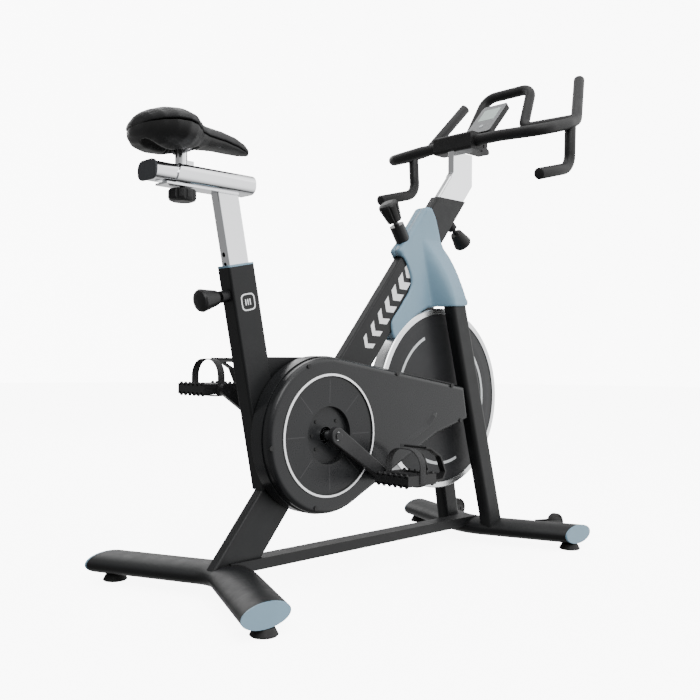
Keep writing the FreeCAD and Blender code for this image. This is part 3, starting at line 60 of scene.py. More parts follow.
# ------------------------------------------------------------------ materials
class Mat:
    """Small helper for node materials in object coordinates."""

    def __init__(self, name):
        self.m = bpy.data.materials.new(name)
        self.m.use_nodes = True
        self.nt = self.m.node_tree
        self.nt.nodes.clear()
        self.out = self.n("ShaderNodeOutputMaterial")
        self.bsdf = self.n("ShaderNodeBsdfPrincipled")
        self.l(self.bsdf.outputs[0], self.out.inputs[0])
        self.tc = self.n("ShaderNodeTexCoord")
        self.pos = self.tc.outputs["Object"]

    def n(self, kind, **props):
        x = self.nt.nodes.new(kind)
        for k, v in props.items():
            setattr(x, k, v)
        return x

    def l(self, a, b):
        self.nt.links.new(a, b)

    def put(self, sock, v):
        if isinstance(v, bpy.types.NodeSocket):
            self.l(v, sock)
        else:
            sock.default_value = v

    def math(self, op, a, b=0.0, c=None, clamp=False):
        x = self.n("ShaderNodeMath", operation=op, use_clamp=clamp)
        self.put(x.inputs[0], a)
        self.put(x.inputs[1], b)
        if c is not None:
            self.put(x.inputs[2], c)
        return x.outputs[0]

    def dot(self, v, d, minus=0.0):
        x = self.n("ShaderNodeVectorMath", operation="DOT_PRODUCT")
        self.put(x.inputs[0], v)
        self.put(x.inputs[1], tuple(d))
        return self.math("SUBTRACT", x.outputs["Value"], minus)

    def sub(self, v, d):
        x = self.n("ShaderNodeVectorMath", operation="SUBTRACT")
        self.put(x.inputs[0], v)
        self.put(x.inputs[1], tuple(d))
        return x.outputs[0]

    def length(self, v):
        x = self.n("ShaderNodeVectorMath", operation="LENGTH")
        self.put(x.inputs[0], v)
        return x.outputs["Value"]

    def noise(self, scale, detail=3.0, rough=0.55, vec=None):
        x = self.n("ShaderNodeTexNoise")
        self.put(x.inputs["Vector"], vec or self.pos)
        x.inputs["Scale"].default_value = scale
        x.inputs["Detail"].default_value = detail
        x.inputs["Roughness"].default_value = rough
        return x.outputs["Fac"]

    def voronoi(self, scale, feature="F1", vec=None):
        x = self.n("ShaderNodeTexVoronoi", feature=feature)
        self.put(x.inputs["Vector"], vec or self.pos)
        x.inputs["Scale"].default_value = scale
        return x.outputs["Distance"]

    def stretch(self, sx, sy, sz):
        x = self.n("ShaderNodeMapping")
        self.l(self.pos, x.inputs[0])
        x.inputs["Scale"].default_value = (sx, sy, sz)
        return x.outputs[0]

    def remap(self, v, a, b, c, d):
        x = self.n("ShaderNodeMapRange")
        self.put(x.inputs[0], v)
        for i, q in enumerate((a, b, c, d)):
            x.inputs[i + 1].default_value = q
        return x.outputs[0]

    def mix(self, f, a, b):
        x = self.n("ShaderNodeMix", data_type="RGBA")
        self.put(x.inputs[0], f)
        self.put(x.inputs[6], a if isinstance(a, bpy.types.NodeSocket) else (*a[:3], 1))
        self.put(x.inputs[7], b if isinstance(b, bpy.types.NodeSocket) else (*b[:3], 1))
        return x.outputs[2]

    def bump(self, h, strength, dist, normal=None):
        x = self.n("ShaderNodeBump")
        x.inputs["Strength"].default_value = strength
        x.inputs["Distance"].default_value = dist
        self.l(h, x.inputs["Height"])
        if normal is not None:
            self.l(normal, x.inputs["Normal"])
        return x.outputs[0]

    def band(self, v, lo, hi, soft=0.0002):
        """1 between lo and hi."""
        a = self.remap(v, lo - soft, lo + soft, 0, 1)
        b = self.remap(v, hi - soft, hi + soft, 1, 0)
        return self.math("MULTIPLY", a, b)


def finish_mat(name, base, rough=0.45, metal=0.0, grain=1400.0, grain_bump=0.06, grain_dist=0.0003, blotch=0.12,
               rough_var=0.10, coat=0.0, bevel=0.0007, wear=0.0, wear_col=(0.5, 0.5, 0.5), extra=None, spec=0.5, cell=None, scuffs=0.0):
    """Base finish with slow colour drift, fine surface grain, rounded edges, edge wear and light scuffs."""
    t = Mat(name)
    drift = t.noise(9.0, 4.0)
    k = t.remap(drift, 0.3, 0.7, 1 - blotch, 1 + blotch)
    col = t.n("ShaderNodeVectorMath", operation="SCALE")
    col.inputs[0].default_value = base[:3]
    t.l(k, col.inputs["Scale"])
    colour = col.outputs[0]
    fine = t.voronoi(cell) if cell else t.noise(grain, 3.0)
    r = t.math("ADD", t.remap(t.noise(38.0, 4.0), 0.3, 0.7, rough - rough_var / 2, rough + rough_var / 2), t.remap(fine, 0, 1, -0.03, 0.03))
    bv = t.n("ShaderNodeBevel", samples=4)
    bv.inputs["Radius"].default_value = bevel
    normal = bv.outputs[0]
    if wear:
        wide = t.n("ShaderNodeBevel", samples=4)
        wide.inputs["Radius"].default_value = bevel * 2.2
        g = t.n("ShaderNodeNewGeometry")
        d = t.n("ShaderNodeVectorMath", operation="DOT_PRODUCT")
        t.l(wide.outputs[0], d.inputs[0])
        t.l(g.outputs["Normal"], d.inputs[1])
        edge = t.remap(d.outputs["Value"], 0.97, 0.80, 0, 1)
        patchy = t.remap(t.noise(120.0, 5.0), 0.5, 0.68, 0, 1)
        f = t.math("MULTIPLY", t.math("MULTIPLY", edge, patchy), wear, clamp=True)
        colour = t.mix(f, colour, wear_col)
    if scuffs:
        sv = t.stretch(260, 260, 30)
        sc = t.remap(t.noise(1.0, 2.0, vec=sv), 0.66, 0.74, 0, scuffs)
        r = t.math("ADD", r, sc)
    h = fine
    if extra:
        res = extra(t, colour, r, h)
        colour, r, h = res[0], res[1], res[2]
        if len(res) > 3:
            metal = res[3]
    t.put(t.bsdf.inputs["Base Color"], colour)
    t.put(t.bsdf.inputs["Roughness"], r)
    t.put(t.bsdf.inputs["Metallic"], metal)
    t.bsdf.inputs["Specular IOR Level"].default_value = spec
    t.bsdf.inputs["Coat Weight"].default_value = coat
    t.bsdf.inputs["Coat Roughness"].default_value = 0.12
    t.l(t.bump(h, grain_bump, grain_dist, normal), t.bsdf.inputs["Normal"])
    return t.m


BLACK = (0.0070, 0.0073, 0.0080)
WHITE = (0.82, 0.83, 0.84)
PALE = (0.155, 0.262, 0.345)


def beam_marks(t, colour, r, h):
    """Plain pale stripes down each side of the beam, in place of lettering."""
    w = t.dot(t.pos, B_AX, B_O.dot(B_AX))
    u = t.dot(t.pos, B_N, B_O.dot(B_N))
    y = t.math("ABSOLUTE", t.dot(t.pos, (0, 1, 0)))
    side = t.remap(y, 0.0124, 0.0126, 0, 1)
    lane = t.band(u, -0.019, 0.019)
    au = t.math("ABSOLUTE", u)
    # chevrons repeat along the beam; their width tapers towards the lower end
    ph = t.math("SUBTRACT", w, t.math("MULTIPLY", au, 0.75))
    f = t.math("FRACT", t.math("MULTIPLY", t.math("ADD", ph, 0.5), 1 / 0.036))
    duty = t.remap(w, -0.16, 0.11, 0.30, 0.66)
    on = t.math("LESS_THAN", f, duty)
    zone = t.band(w, -0.150, 0.100)
    mask = t.math("MULTIPLY", t.math("MULTIPLY", side, lane), t.math("MULTIPLY", on, zone))
    return t.mix(mask, colour, WHITE), t.math("SUBTRACT", r, t.math("MULTIPLY", mask, 0.08)), h


def column_mark(t, colour, r, h):
    """Plain rounded-square outline with three bars, in place of the badge."""
    w = t.dot(t.pos, C_AX, C_O.dot(C_AX) + 0.050)
    u = t.dot(t.pos, C_N, C_O.dot(C_N) + 0.002)
    y = t.math("ABSOLUTE", t.dot(t.pos, (0, 1, 0)))
    side = t.remap(y, 0.0194, 0.0196, 0, 1)
    s = t.math("POWER", t.math("ADD", t.math("POWER", t.math("ABSOLUTE", u), 4.0), t.math("POWER", t.math("ABSOLUTE", w), 4.0)), 0.25)
    ring = t.band(s, 0.0145, 0.0170, 0.0003)
    bars = t.math("MULTIPLY", t.math("LESS_THAN", t.math("FRACT", t.math("MULTIPLY", t.math("ADD", u, 0.5025), 1 / 0.0055)), 0.45), t.math("MULTIPLY", t.band(u, -0.008, 0.008), t.band(w, -0.006, 0.006)))
    mask = t.math("MULTIPLY", side, t.math("MAXIMUM", ring, bars))
    return t.mix(mask, colour, WHITE), r, h


def radial(t, centre):
    v = t.sub(t.pos, centre)
    x = t.n("ShaderNodeSeparateXYZ")
    t.l(v, x.inputs[0])
    rr = t.math("SQRT", t.math("ADD", t.math("MULTIPLY", x.outputs[0], x.outputs[0]), t.math("MULTIPLY", x.outputs[2], x.outputs[2])))
    ang = t.math("ARCTAN2", x.outputs[2], x.outputs[0])
    return rr, ang, x.outputs[1]


def cover_arcs(t, colour, r, h):
    """Three light arcs near the edge of the wheel cover."""
    rr, ang, y = radial(t, WHEEL)
    arc = t.band(rr, 0.156, 0.163, 0.0004)
    total = None
    for c in (145, 15, -100):
        a = math.radians(c)
        d = t.math("COSINE", t.math("SUBTRACT", ang, a))
        on = t.remap(d, math.cos(math.radians(31)), math.cos(math.radians(30)), 0, 1)
        total = on if total is None else t.math("MAXIMUM", total, on)
    mask = t.math("MULTIPLY", arc, total)
    rings = t.math("SINE", t.math("MULTIPLY", rr, 2 * math.pi / 0.0011))
    h2 = t.math("ADD", h, t.math("MULTIPLY", rings, 0.10))
    return t.mix(mask, colour, (0.55, 0.57, 0.58)), t.math("SUBTRACT", r, t.math("MULTIPLY", mask, 0.12)), h2


def turned(centre, pitch=0.0009, amount=0.5):
    def f(t, colour, r, h):
        rr, ang, y = radial(t, centre)
        rings = t.noise(1.0, 2.0, vec=None)
        c = t.n("ShaderNodeCombineXYZ")
        t.l(t.math("MULTIPLY", rr, 1 / pitch), c.inputs[0])
        t.l(t.math("MULTIPLY", y, 1 / pitch), c.inputs[1])
        fine = t.n("ShaderNodeTexNoise")
        t.l(c.outputs[0], fine.inputs["Vector"])
        fine.inputs["Scale"].default_value = 1.0
        return colour, t.math("ADD", r, t.remap(fine.outputs["Fac"], 0.3, 0.7, -0.05, 0.05)), t.math("ADD", h, t.math("MULTIPLY", fine.outputs["Fac"], amount))
    return f


def wheel_look(t, colour, r, h):
    """Bright turned rim, dark painted web."""
    rr, ang, y = radial(t, WHEEL)
    rim = t.remap(rr, 0.2055, 0.2060, 0, 1)
    col = t.mix(rim, (0.03, 0.03, 0.032), (0.80, 0.81, 0.82))
    rings = t.math("SINE", t.math("MULTIPLY", rr, 2 * math.pi / 0.0007))
    return col, t.math("ADD", t.math("MULTIPLY", rim, -0.22), t.math("ADD", r, 0.12)), t.math("ADD", h, t.math("MULTIPLY", rings, 0.15)), t.math("MULTIPLY", rim, 0.95)


def disc_look(t, colour, r, h):
    """Fine radial brushing on the crank disc; eight radial ribs are raised by bump and painted a lighter grey as a
    painted highlight.
    """
    rr, ang, y = radial(t, CRANK)
    c = t.n("ShaderNodeCombineXYZ")
    t.l(t.math("MULTIPLY", rr, 260.0), c.inputs[0])
    t.l(t.math("MULTIPLY", ang, 22.0), c.inputs[1])
    x = t.n("ShaderNodeTexNoise")
    t.l(c.outputs[0], x.inputs["Vector"])
    x.inputs["Scale"].default_value = 1.0
    rings = t.math("SINE", t.math("MULTIPLY", rr, 2 * math.pi / 0.0016))
    off = t.math("MULTIPLY", t.math("ABSOLUTE", t.math("SINE", t.math("MULTIPLY", ang, 4.0))), t.math("MULTIPLY", rr, 0.25))
    rib_and_painted_highlight = t.math("MULTIPLY", t.remap(off, 0.0006, 0.0011, 1, 0), t.band(rr, 0.067, 0.115, 0.0006))
    # the rib mask both lifts the bump and lightens the colour: painted highlight on the ribs
    return (t.mix(rib_and_painted_highlight, colour, (0.035, 0.035, 0.037)), t.math("ADD", r, t.remap(x.outputs["Fac"], 0.3, 0.7, -0.04, 0.05)),
            t.math("ADD", t.math("ADD", h, t.math("MULTIPLY", rings, 0.25)), t.math("MULTIPLY", rib_and_painted_highlight, 4.0)))


def leather(t, colour, r, h):
    """Cells of grain with fine creases between them."""
    a = t.voronoi(620.0, "DISTANCE_TO_EDGE")
    b = t.voronoi(1500.0, "DISTANCE_TO_EDGE")
    g = t.math("ADD", t.remap(a, 0.0, 0.12, 0, 1), t.math("MULTIPLY", t.remap(b, 0.0, 0.10, 0, 1), 0.4))
    return colour, t.math("ADD", r, t.remap(g, 0, 1.4, 0.08, -0.04)), g


def weave(t, colour, r, h):
    """Plain weave: two crossed sets of ridges, their tops painted lighter than the valleys as a painted highlight."""
    x = t.n("ShaderNodeSeparateXYZ")
    t.l(t.pos, x.inputs[0])
    u = t.math("MULTIPLY", t.math("ADD", x.outputs[1], x.outputs[2]), 2 * math.pi / 0.0022)
    v = t.math("MULTIPLY", x.outputs[0], 2 * math.pi / 0.0018)
    g = t.math("ADD", t.math("MULTIPLY", t.math("SINE", u), t.math("SINE", v)), t.math("MULTIPLY", h, 0.3))
    # colour lightens towards the ridge tops: painted highlight following the weave height
    k = t.remap(g, -1, 1, 0.0, 0.25)
    return t.mix(k, colour, (0.09, 0.09, 0.09)), r, g


def grip_skin(t, colour, r, h):
    """Fine pebble of a dipped foam coating."""
    a = t.voronoi(900.0)
    return colour, t.math("ADD", r, t.remap(a, 0, 0.6, -0.03, 0.04)), t.math("ADD", a, t.math("MULTIPLY", h, 0.5))


def ribbed(axis_scale):
    def f(t, colour, r, h):
        x = t.n("ShaderNodeSeparateXYZ")
        t.l(t.pos, x.inputs[0])
        s = t.math("SINE", t.math("MULTIPLY", x.outputs[1], 2 * math.pi / axis_scale))
        return colour, r, t.math("ADD", h, t.math("MULTIPLY", s, 0.8))
    return f


def chrome_lines(t, colour, r, h):
    """Very light vertical polish lines and smears on plated tube."""
    v = t.stretch(1500, 1500, 20)
    lines = t.noise(1.0, 2.0, vec=v)
    return colour, t.math("ADD", r, t.remap(lines, 0.4, 0.7, 0, 0.04)), t.math("ADD", h, t.math("MULTIPLY", lines, 0.3))


def top_strip(t, colour, r, h):
    """Black glide strip along the flat top of the plated slide tube."""
    x = t.n("ShaderNodeSeparateXYZ")
    t.l(t.pos, x.inputs[0])
    m = t.math("MULTIPLY", t.remap(x.outputs[2], 0.8212, 0.8214, 0, 1), t.remap(t.math("ABSOLUTE", x.outputs[1]), 0.0162, 0.0166, 1, 0))
    return t.mix(m, colour, (0.012, 0.012, 0.013)), t.math("ADD", r, t.math("MULTIPLY", m, 0.3)), h, t.math("SUBTRACT", 1.0, m)


def ring_line(t, colour, r, h):
    """White band with dark edges round the crank disc."""
    rr, ang, y = radial(t, CRANK)
    m = t.band(rr, 0.1234, 0.1280, 0.0003)
    return t.mix(m, (0.010, 0.010, 0.011), colour), r, h


def console_sides(t, colour, r, h):
    """Grey face, black case sides and back."""
    g = t.n("ShaderNodeNewGeometry")
    m = t.remap(t.dot(g.outputs["Normal"], (-0.73491, 0.0, 0.67816)), 0.85, 0.93, 0, 1)
    return t.mix(m, (0.009, 0.009, 0.0095), colour), r, h


def sleeve_line(apex, slope):
    """Pointed outline of the joint sleeve round the middle of a stabiliser."""
    def f(t, colour, r, h):
        x = t.n("ShaderNodeSeparateXYZ")
        t.l(t.pos, x.inputs[0])
        s = t.math("ABSOLUTE", x.outputs[1])
        across = t.math("SUBTRACT", x.outputs[0], t.math("ADD", t.math("MULTIPLY", s, slope), apex - 0.4982))
        q = t.math("MULTIPLY", across, 1 / 0.030)
        edge = t.math("SUBTRACT", 0.112, t.math("MULTIPLY", t.math("MULTIPLY", q, q), 0.048))
        d = t.math("SUBTRACT", s, edge)
        line = t.band(d, -0.0009, 0.0009, 0.0004)
        inside = t.remap(d, -0.0006, 0.0006, 1, 0)
        return t.mix(line, colour, (0.0015, 0.0015, 0.0016)), r, t.math("ADD", t.math("SUBTRACT", h, t.math("MULTIPLY", line, 5.0)), t.math("MULTIPLY", inside, 2.0))
    return f


MATS = {
    "frame_paint": finish_mat("frame_paint", BLACK, 0.42, grain=1100, grain_bump=0.10, wear=0.35, wear_col=(0.10, 0.10, 0.105), scuffs=0.08, spec=0.24),
    "beam_paint": finish_mat("beam_paint", BLACK, 0.42, grain=1100, grain_bump=0.10, wear=0.35, wear_col=(0.10, 0.10, 0.105), extra=beam_marks, spec=0.24),
    "rear_stab_paint": finish_mat("rear_stab_paint", BLACK, 0.42, grain=1100, grain_bump=0.10, wear=0.35, wear_col=(0.10, 0.10, 0.105), extra=sleeve_line(0.110, -0.4453), spec=0.24),
    "front_stab_paint": finish_mat("front_stab_paint", BLACK, 0.42, grain=1100, grain_bump=0.10, wear=0.35, wear_col=(0.10, 0.10, 0.105), extra=sleeve_line(0.868, 0.375), spec=0.24),
    "column_paint": finish_mat("column_paint", BLACK, 0.42, grain=1100, grain_bump=0.10, wear=0.35, wear_col=(0.10, 0.10, 0.105), extra=column_mark, spec=0.24),
    "pale_plastic": finish_mat("pale_plastic", PALE, 0.40, cell=1100, grain_bump=0.07, blotch=0.05, wear=0.15, wear_col=(0.5, 0.6, 0.66), coat=0.08),
    "cover_plastic": finish_mat("cover_plastic", (0.0105, 0.011, 0.012), 0.27, cell=1300, grain_bump=0.05, coat=0.10, scuffs=0.10, spec=0.24),
    "disc_plastic": finish_mat("disc_plastic", (0.012, 0.0125, 0.0135), 0.30, grain=1200, grain_bump=0.07, extra=disc_look, spec=0.24),
    "ring_plastic": finish_mat("ring_plastic", (0.90, 0.91, 0.92), 0.28, metal=0.0, grain=900, grain_bump=0.04, blotch=0.03, extra=ring_line),
    "dark_steel": finish_mat("dark_steel", (0.10, 0.10, 0.105), 0.35, metal=0.9, grain=1500, grain_bump=0.10),
    "steel": finish_mat("steel", (0.55, 0.56, 0.57), 0.28, metal=1.0, grain=1500, grain_bump=0.10, extra=turned(WHEEL)),
    "crank_steel": finish_mat("crank_steel", (0.55, 0.56, 0.57), 0.26, metal=1.0, grain=1500, grain_bump=0.10, extra=turned(CRANK)),
    "belt_rubber": finish_mat("belt_rubber", (0.012, 0.012, 0.012), 0.7, grain=900, grain_bump=0.3, extra=ribbed(0.0022), spec=0.24),
    "wheel_metal": finish_mat("wheel_metal", (0.7, 0.7, 0.72), 0.34, metal=1.0, grain=1300, grain_bump=0.08, extra=wheel_look),
    "wheel_cover": finish_mat("wheel_cover", (0.016, 0.0165, 0.018), 0.36, grain=1300, grain_bump=0.09, extra=cover_arcs, spec=0.24),
    "crank_metal": finish_mat("crank_metal", (0.018, 0.018, 0.019), 0.33, grain=1300, grain_bump=0.08, wear=0.5, wear_col=(0.25, 0.25, 0.26), scuffs=0.12, spec=0.24),
    "pulley_alloy": finish_mat("pulley_alloy", (0.40, 0.41, 0.42), 0.38, metal=1.0, grain=700, grain_bump=0.2),
    "pedal_plastic": finish_mat("pedal_plastic", (0.014, 0.014, 0.0145), 0.46, cell=900, grain_bump=0.16, wear=0.45, wear_col=(0.07, 0.07, 0.07), spec=0.24),
    "strap": finish_mat("strap", (0.022, 0.022, 0.023), 0.75, grain=1500, grain_bump=0.35, grain_dist=0.0005, extra=weave, spec=0.24),
    "chrome": finish_mat("chrome", (0.83, 0.84, 0.86), 0.10, metal=1.0, grain=400, grain_bump=0.012, blotch=0.02, rough_var=0.05, extra=chrome_lines),
    "slide_chrome": finish_mat("slide_chrome", (0.80, 0.81, 0.83), 0.14, metal=1.0, grain=500, grain_bump=0.02, blotch=0.02, rough_var=0.05, extra=top_strip),
    "dark_tube": finish_mat("dark_tube", (0.014, 0.014, 0.016), 0.38, grain=1300, grain_bump=0.08, spec=0.24),
    "cap_plastic": finish_mat("cap_plastic", (0.030, 0.032, 0.036), 0.5, cell=1000, grain_bump=0.12, spec=0.24),
    "saddle_shell": finish_mat("saddle_shell", (0.012, 0.012, 0.0125), 0.46, cell=900, grain_bump=0.15, spec=0.24),
    "saddle_cover": finish_mat("saddle_cover", (0.0135, 0.0135, 0.0145), 0.44, grain=900, grain_bump=0.16, grain_dist=0.0004, extra=leather, spec=0.24),
    "knob_plastic": finish_mat("knob_plastic", (0.011, 0.011, 0.0115), 0.40, cell=1000, grain_bump=0.13, wear=0.3, wear_col=(0.06, 0.06, 0.06), spec=0.24),
    "grip_coat": finish_mat("grip_coat", (0.0125, 0.0125, 0.0130), 0.47, grain=1100, grain_bump=0.16, extra=grip_skin, spec=0.24),
    "console_grey": finish_mat("console_grey", (0.155, 0.160, 0.165), 0.42, cell=1100, grain_bump=0.10, blotch=0.04, extra=console_sides),
    "button_plastic": finish_mat("button_plastic", (0.40, 0.42, 0.43), 0.35, cell=1100, grain_bump=0.08),
    "foot_rubber": finish_mat("foot_rubber", (0.012, 0.012, 0.012), 0.62, grain=800, grain_bump=0.25, spec=0.24),
    "lens": finish_mat("lens", (0.42, 0.50, 0.47), 0.12, grain=500, grain_bump=0.01, blotch=0.04, coat=0.5),
}
# the cover screws take the dark knob plastic: painted shade standing in for the recesses they sit in
OVERRIDE = {"slider_tube": "slide_chrome", "main_beam": "beam_paint", "seat_column": "column_paint", "cover_disc": "disc_plastic", "crank_axle": "crank_steel", "crank_fasteners": "crank_metal", "cover_screws": "knob_plastic", "rear_stabilizer": "rear_stab_paint", "front_stabilizer": "front_stab_paint",
            "console_body": "console_grey"}
SLOTS = {s["node"]: s["material_slot"] for s in frame["record"]["subparts"]}


def dress(ob, key):
    ob.data.materials.clear() if ob.type == "CURVE" else None
    if not ob.data.materials:
        ob.data.materials.append(MATS[key])
    for s in ob.material_slots:
        s.material = MATS[key]


for name, ob in NODES.items():
    dress(ob, OVERRIDE.get(name, SLOTS.get(name, "frame_paint")))


# ------------------------------------------------------------------ mesh helpers
def mesh_ob(name, verts, faces, key, smooth=True, sub=0):
    me = bpy.data.meshes.new(name)
    me.from_pydata([tuple(v) for v in verts], [], faces)
    me.validate()
    me.update()
    ob = bpy.data.objects.new(name, me)
    bpy.context.collection.objects.link(ob)
    me.materials.append(MATS[key])
    bm = bmesh.new()
    bm.from_mesh(me)
    bmesh.ops.recalc_face_normals(bm, faces=bm.faces)
    bm.to_mesh(me)
    bm.free()
    for p in me.polygons:
        p.use_smooth = smooth
    if sub:
        m = ob.modifiers.new("sub", "SUBSURF")
        m.levels = m.render_levels = sub
    return ob


def apply_mods(ob):
    dg = bpy.context.evaluated_depsgraph_get()
    me = bpy.data.meshes.new_from_object(ob.evaluated_get(dg))
    old = ob.data
    ob.modifiers.clear()
    ob.data = me
    bpy.data.meshes.remove(old)
    return ob


def grid_faces(n, m, wrap=True, caps=True):
    """n rings of m points."""
    f = []
    for i in range(n - 1):
        for j in range(m if wrap else m - 1):
            k = (j + 1) % m
            f.append((i * m + j, i * m + k, (i + 1) * m + k, (i + 1) * m + j))
    if caps and wrap:
        f.append(tuple(range(m - 1, -1, -1)))
        f.append(tuple((n - 1) * m + j for j in range(m)))
    return f


def bent(pts, radii, step=0.006):
    """Smooth route through straight runs and tangent arcs."""
    pts = [P(*p) for p in pts]
    out = [pts[0]]
    for i in range(1, len(pts) - 1):
        a, b, c = pts[i - 1], pts[i], pts[i + 1]
        u, w = (a - b).normalized(), (c - b).normalized()
        half = u.angle(w) / 2
        r = radii[i - 1] / 1000.0
        t = r / math.tan(half)
        mid = (u + w).normalized()
        centre = b + mid * (r / math.sin(half))
        p, q = b + u * t, b + w * t
        v0, v1 = p - centre, q - centre
        ang = v0.angle(v1)
        n = max(4, int(ang * r / step))
        for k in range(n + 1):
            s = k / n
            out.append(centre + (v0 * math.sin((1 - s) * ang) + v1 * math.sin(s * ang)) / math.sin(ang))
    out.append(pts[-1])
    return out


def tube_mesh(name, route, radius, key, sides=28, ends=True, flare=None):
    """Round tube along a route with domed ends."""
    n = len(route)
    dirs = []
    for i in range(n):
        a, b = route[max(i - 1, 0)], route[min(i + 1, n - 1)]
        dirs.append((b - a).normalized())
    up = Vector((0, 0, 1)) if abs(dirs[0].z) < 0.9 else Vector((1, 0, 0))
    x = dirs[0].cross(up).normalized()
    rings = []

    def ring(c, d, xv, r):
        yv = d.cross(xv).normalized()
        return [c + xv * (r * math.cos(2 * math.pi * j / sides)) + yv * (r * math.sin(2 * math.pi * j / sides)) for j in range(sides)]

    if ends:
        for k in (0.15, 0.45, 0.75, 0.94):
            rings.append(ring(route[0] + dirs[0] * (radius * 0.22 * (1 - math.sqrt(max(0, 1 - (1 - (1 - k)) ** 2)))), dirs[0], x, radius * k))
    prev = dirs[0]
    for i in range(n):
        d = dirs[i]
        q = prev.rotation_difference(d)
        x = (q @ x)
        x = (x - d * x.dot(d)).normalized()
        prev = d
        c = route[i]
        if ends and i == 0:
            c = c + d * radius * 0.22
        if ends and i == n - 1:
            c = c - d * radius * 0.22
        rings.append(ring(c, d, x, radius))
    if ends:
        for k in (0.94, 0.75, 0.45, 0.15):
            rings.append(ring(route[-1] - dirs[-1] * (radius * 0.22 * (1 - math.sqrt(max(0, 1 - k ** 2)))), dirs[-1], x, radius * k))
    verts = [v for r_ in rings for v in r_]
    return mesh_ob(name, verts, grid_faces(len(rings), sides), key)


# ------------------------------------------------------------------ handlebar coating
def mir(p):
    return (p[0], -p[1], p[2])


R_BAR = 0.01395
half_pts = [(1086, 186, 1193), (984, 240, 1058), (925, 256, 1034), (822, 246, 1003), (818, 128, 1009)]
main = tube_mesh("bar_main_coat", bent(half_pts + [mir(q) for q in reversed(half_pts)], [48, 90, 45, 220, 220, 45, 90, 48]), R_BAR, "grip_coat")
loop = tube_mesh("bar_loop_coat", bent([(978, 232, 1058), (974, 90, 1062), (1036, 74, 1184), (1036, -74, 1184), (974, -90, 1062), (978, -232, 1058)], [26, 34, 34, 26]), R_BAR - 0.0004, "grip_coat")
bars = [main, loop]
for tag, f in (("left", lambda q: q), ("right", mir)):
    bars.append(tube_mesh("bar_drop_coat_" + tag, bent([f(q) for q in ((934, 254, 1034), (937, 250, 930), (797, 254.5, 894))], [38]), R_BAR - 0.0002, "grip_coat"))
for b in bars:
    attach(b, "handlebar_mast")
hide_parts("handlebar")


# ------------------------------------------------------------------ saddle
def lerp_table(tab, x):
    if x <= tab[0][0]:
        return tab[0][1:]
    for a, b in zip(tab, tab[1:]):
        if x <= b[0]:
            s = (x - a[0]) / (b[0] - a[0])
            s = s * s * (3 - 2 * s) * 0.35 + s * 0.65
            return [p + (q - p) * s for p, q in zip(a[1:], b[1:])]
    return tab[-1][1:]


# x, half width, top height at the middle, widest height, lower height
SAD = [(-101, 22, 899, 890, 876), (-97, 42, 907, 890, 866), (-86, 68, 914, 890, 856), (-68, 88, 920, 890, 849), (-48, 95, 922, 889, 846), (-28, 88, 920, 888, 846), (-8, 69, 915, 887, 850),
       (12, 49, 909, 886, 857), (34, 39, 906, 885, 863), (70, 33, 904, 884, 866), (104, 28, 899, 880, 866), (128, 21, 891, 876, 866), (141, 13, 884, 874, 867), (147, 5, 878, 873, 869)]


def saddle_rings(lower, shrink=0.0):
    n, m = 90, 72
    rings = []
    for i in range(n):
        s = i / (n - 1)
        s = 0.5 * s + 0.5 * (0.5 - 0.5 * math.cos(math.pi * s))
        x = SAD[0][0] + (SAD[-1][0] - SAD[0][0]) * s
        hw, top, mid, low = lerp_table(SAD, x)
        hw -= shrink
        ring = []
        for j in range(m):
            a = 2 * math.pi * j / m
            ca, sa = math.cos(a), math.sin(a)
            y = hw * math.copysign(abs(ca) ** 0.86, ca)
            if not lower:
                # padded upper part, flat underneath
                yn = min(1.0, abs(y) / max(hw, 1e-6))
                if sa >= 0:
                    z = mid + (top - mid) * abs(sa) ** 0.9 * (1 - 0.26 * yn * yn)
                    groove = 1.8 * math.exp(-(y / 8.0) ** 2) * max(0.0, min(1.0, (58 - x) / 40.0)) * max(0.0, min(1.0, (x + 92) / 20.0))
                    seam = 0.9 * math.exp(-((abs(y) - 0.78 * hw) / 1.6) ** 2) if hw > 24 else 0.0
                    z -= (groove + seam) * min(1.0, sa * 2.2)
                else:
                    z = mid - 5.0 * abs(sa) ** 0.6
            else:
                if sa >= 0:
                    z = mid - 5.6 + 1.0 * sa
                else:
                    z = mid - 5.6 - (mid - 5.6 - low) * abs(sa) ** 0.75
                    slot = min(1.0, (11 - abs(y)) / 2.5) * min(1.0, (x + 90) / 4.0, (-20 - x) / 4.0)
                    well = min(1.0, (25 - abs(y)) / 3.0) * min(1.0, (x + 33) / 4.0, (18 - x) / 4.0)
                    e = max(0.0, slot * 0.62 if abs(y) < 11 else 0.0, well if abs(y) < 25 else 0.0)
                    z = z + (876.0 - z) * e if z < 876.0 else z
            ring.append(P(x, y, z))
        rings.append(ring)
    return rings, n, m


rings, n, m = saddle_rings(False)
pad = mesh_ob("saddle_cushion", [v for r_ in rings for v in r_], grid_faces(n, m), "saddle_cover", sub=1)
apply_mods(pad)
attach(pad, "saddle")
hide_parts("saddle_pad")
rings, n, m = saddle_rings(True, 2.2)
shell = mesh_ob("saddle_under_shell", [v for r_ in rings for v in r_], grid_faces(n, m), "saddle_shell", sub=1)
apply_mods(shell)
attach(shell, "saddle")
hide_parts("saddle_base")

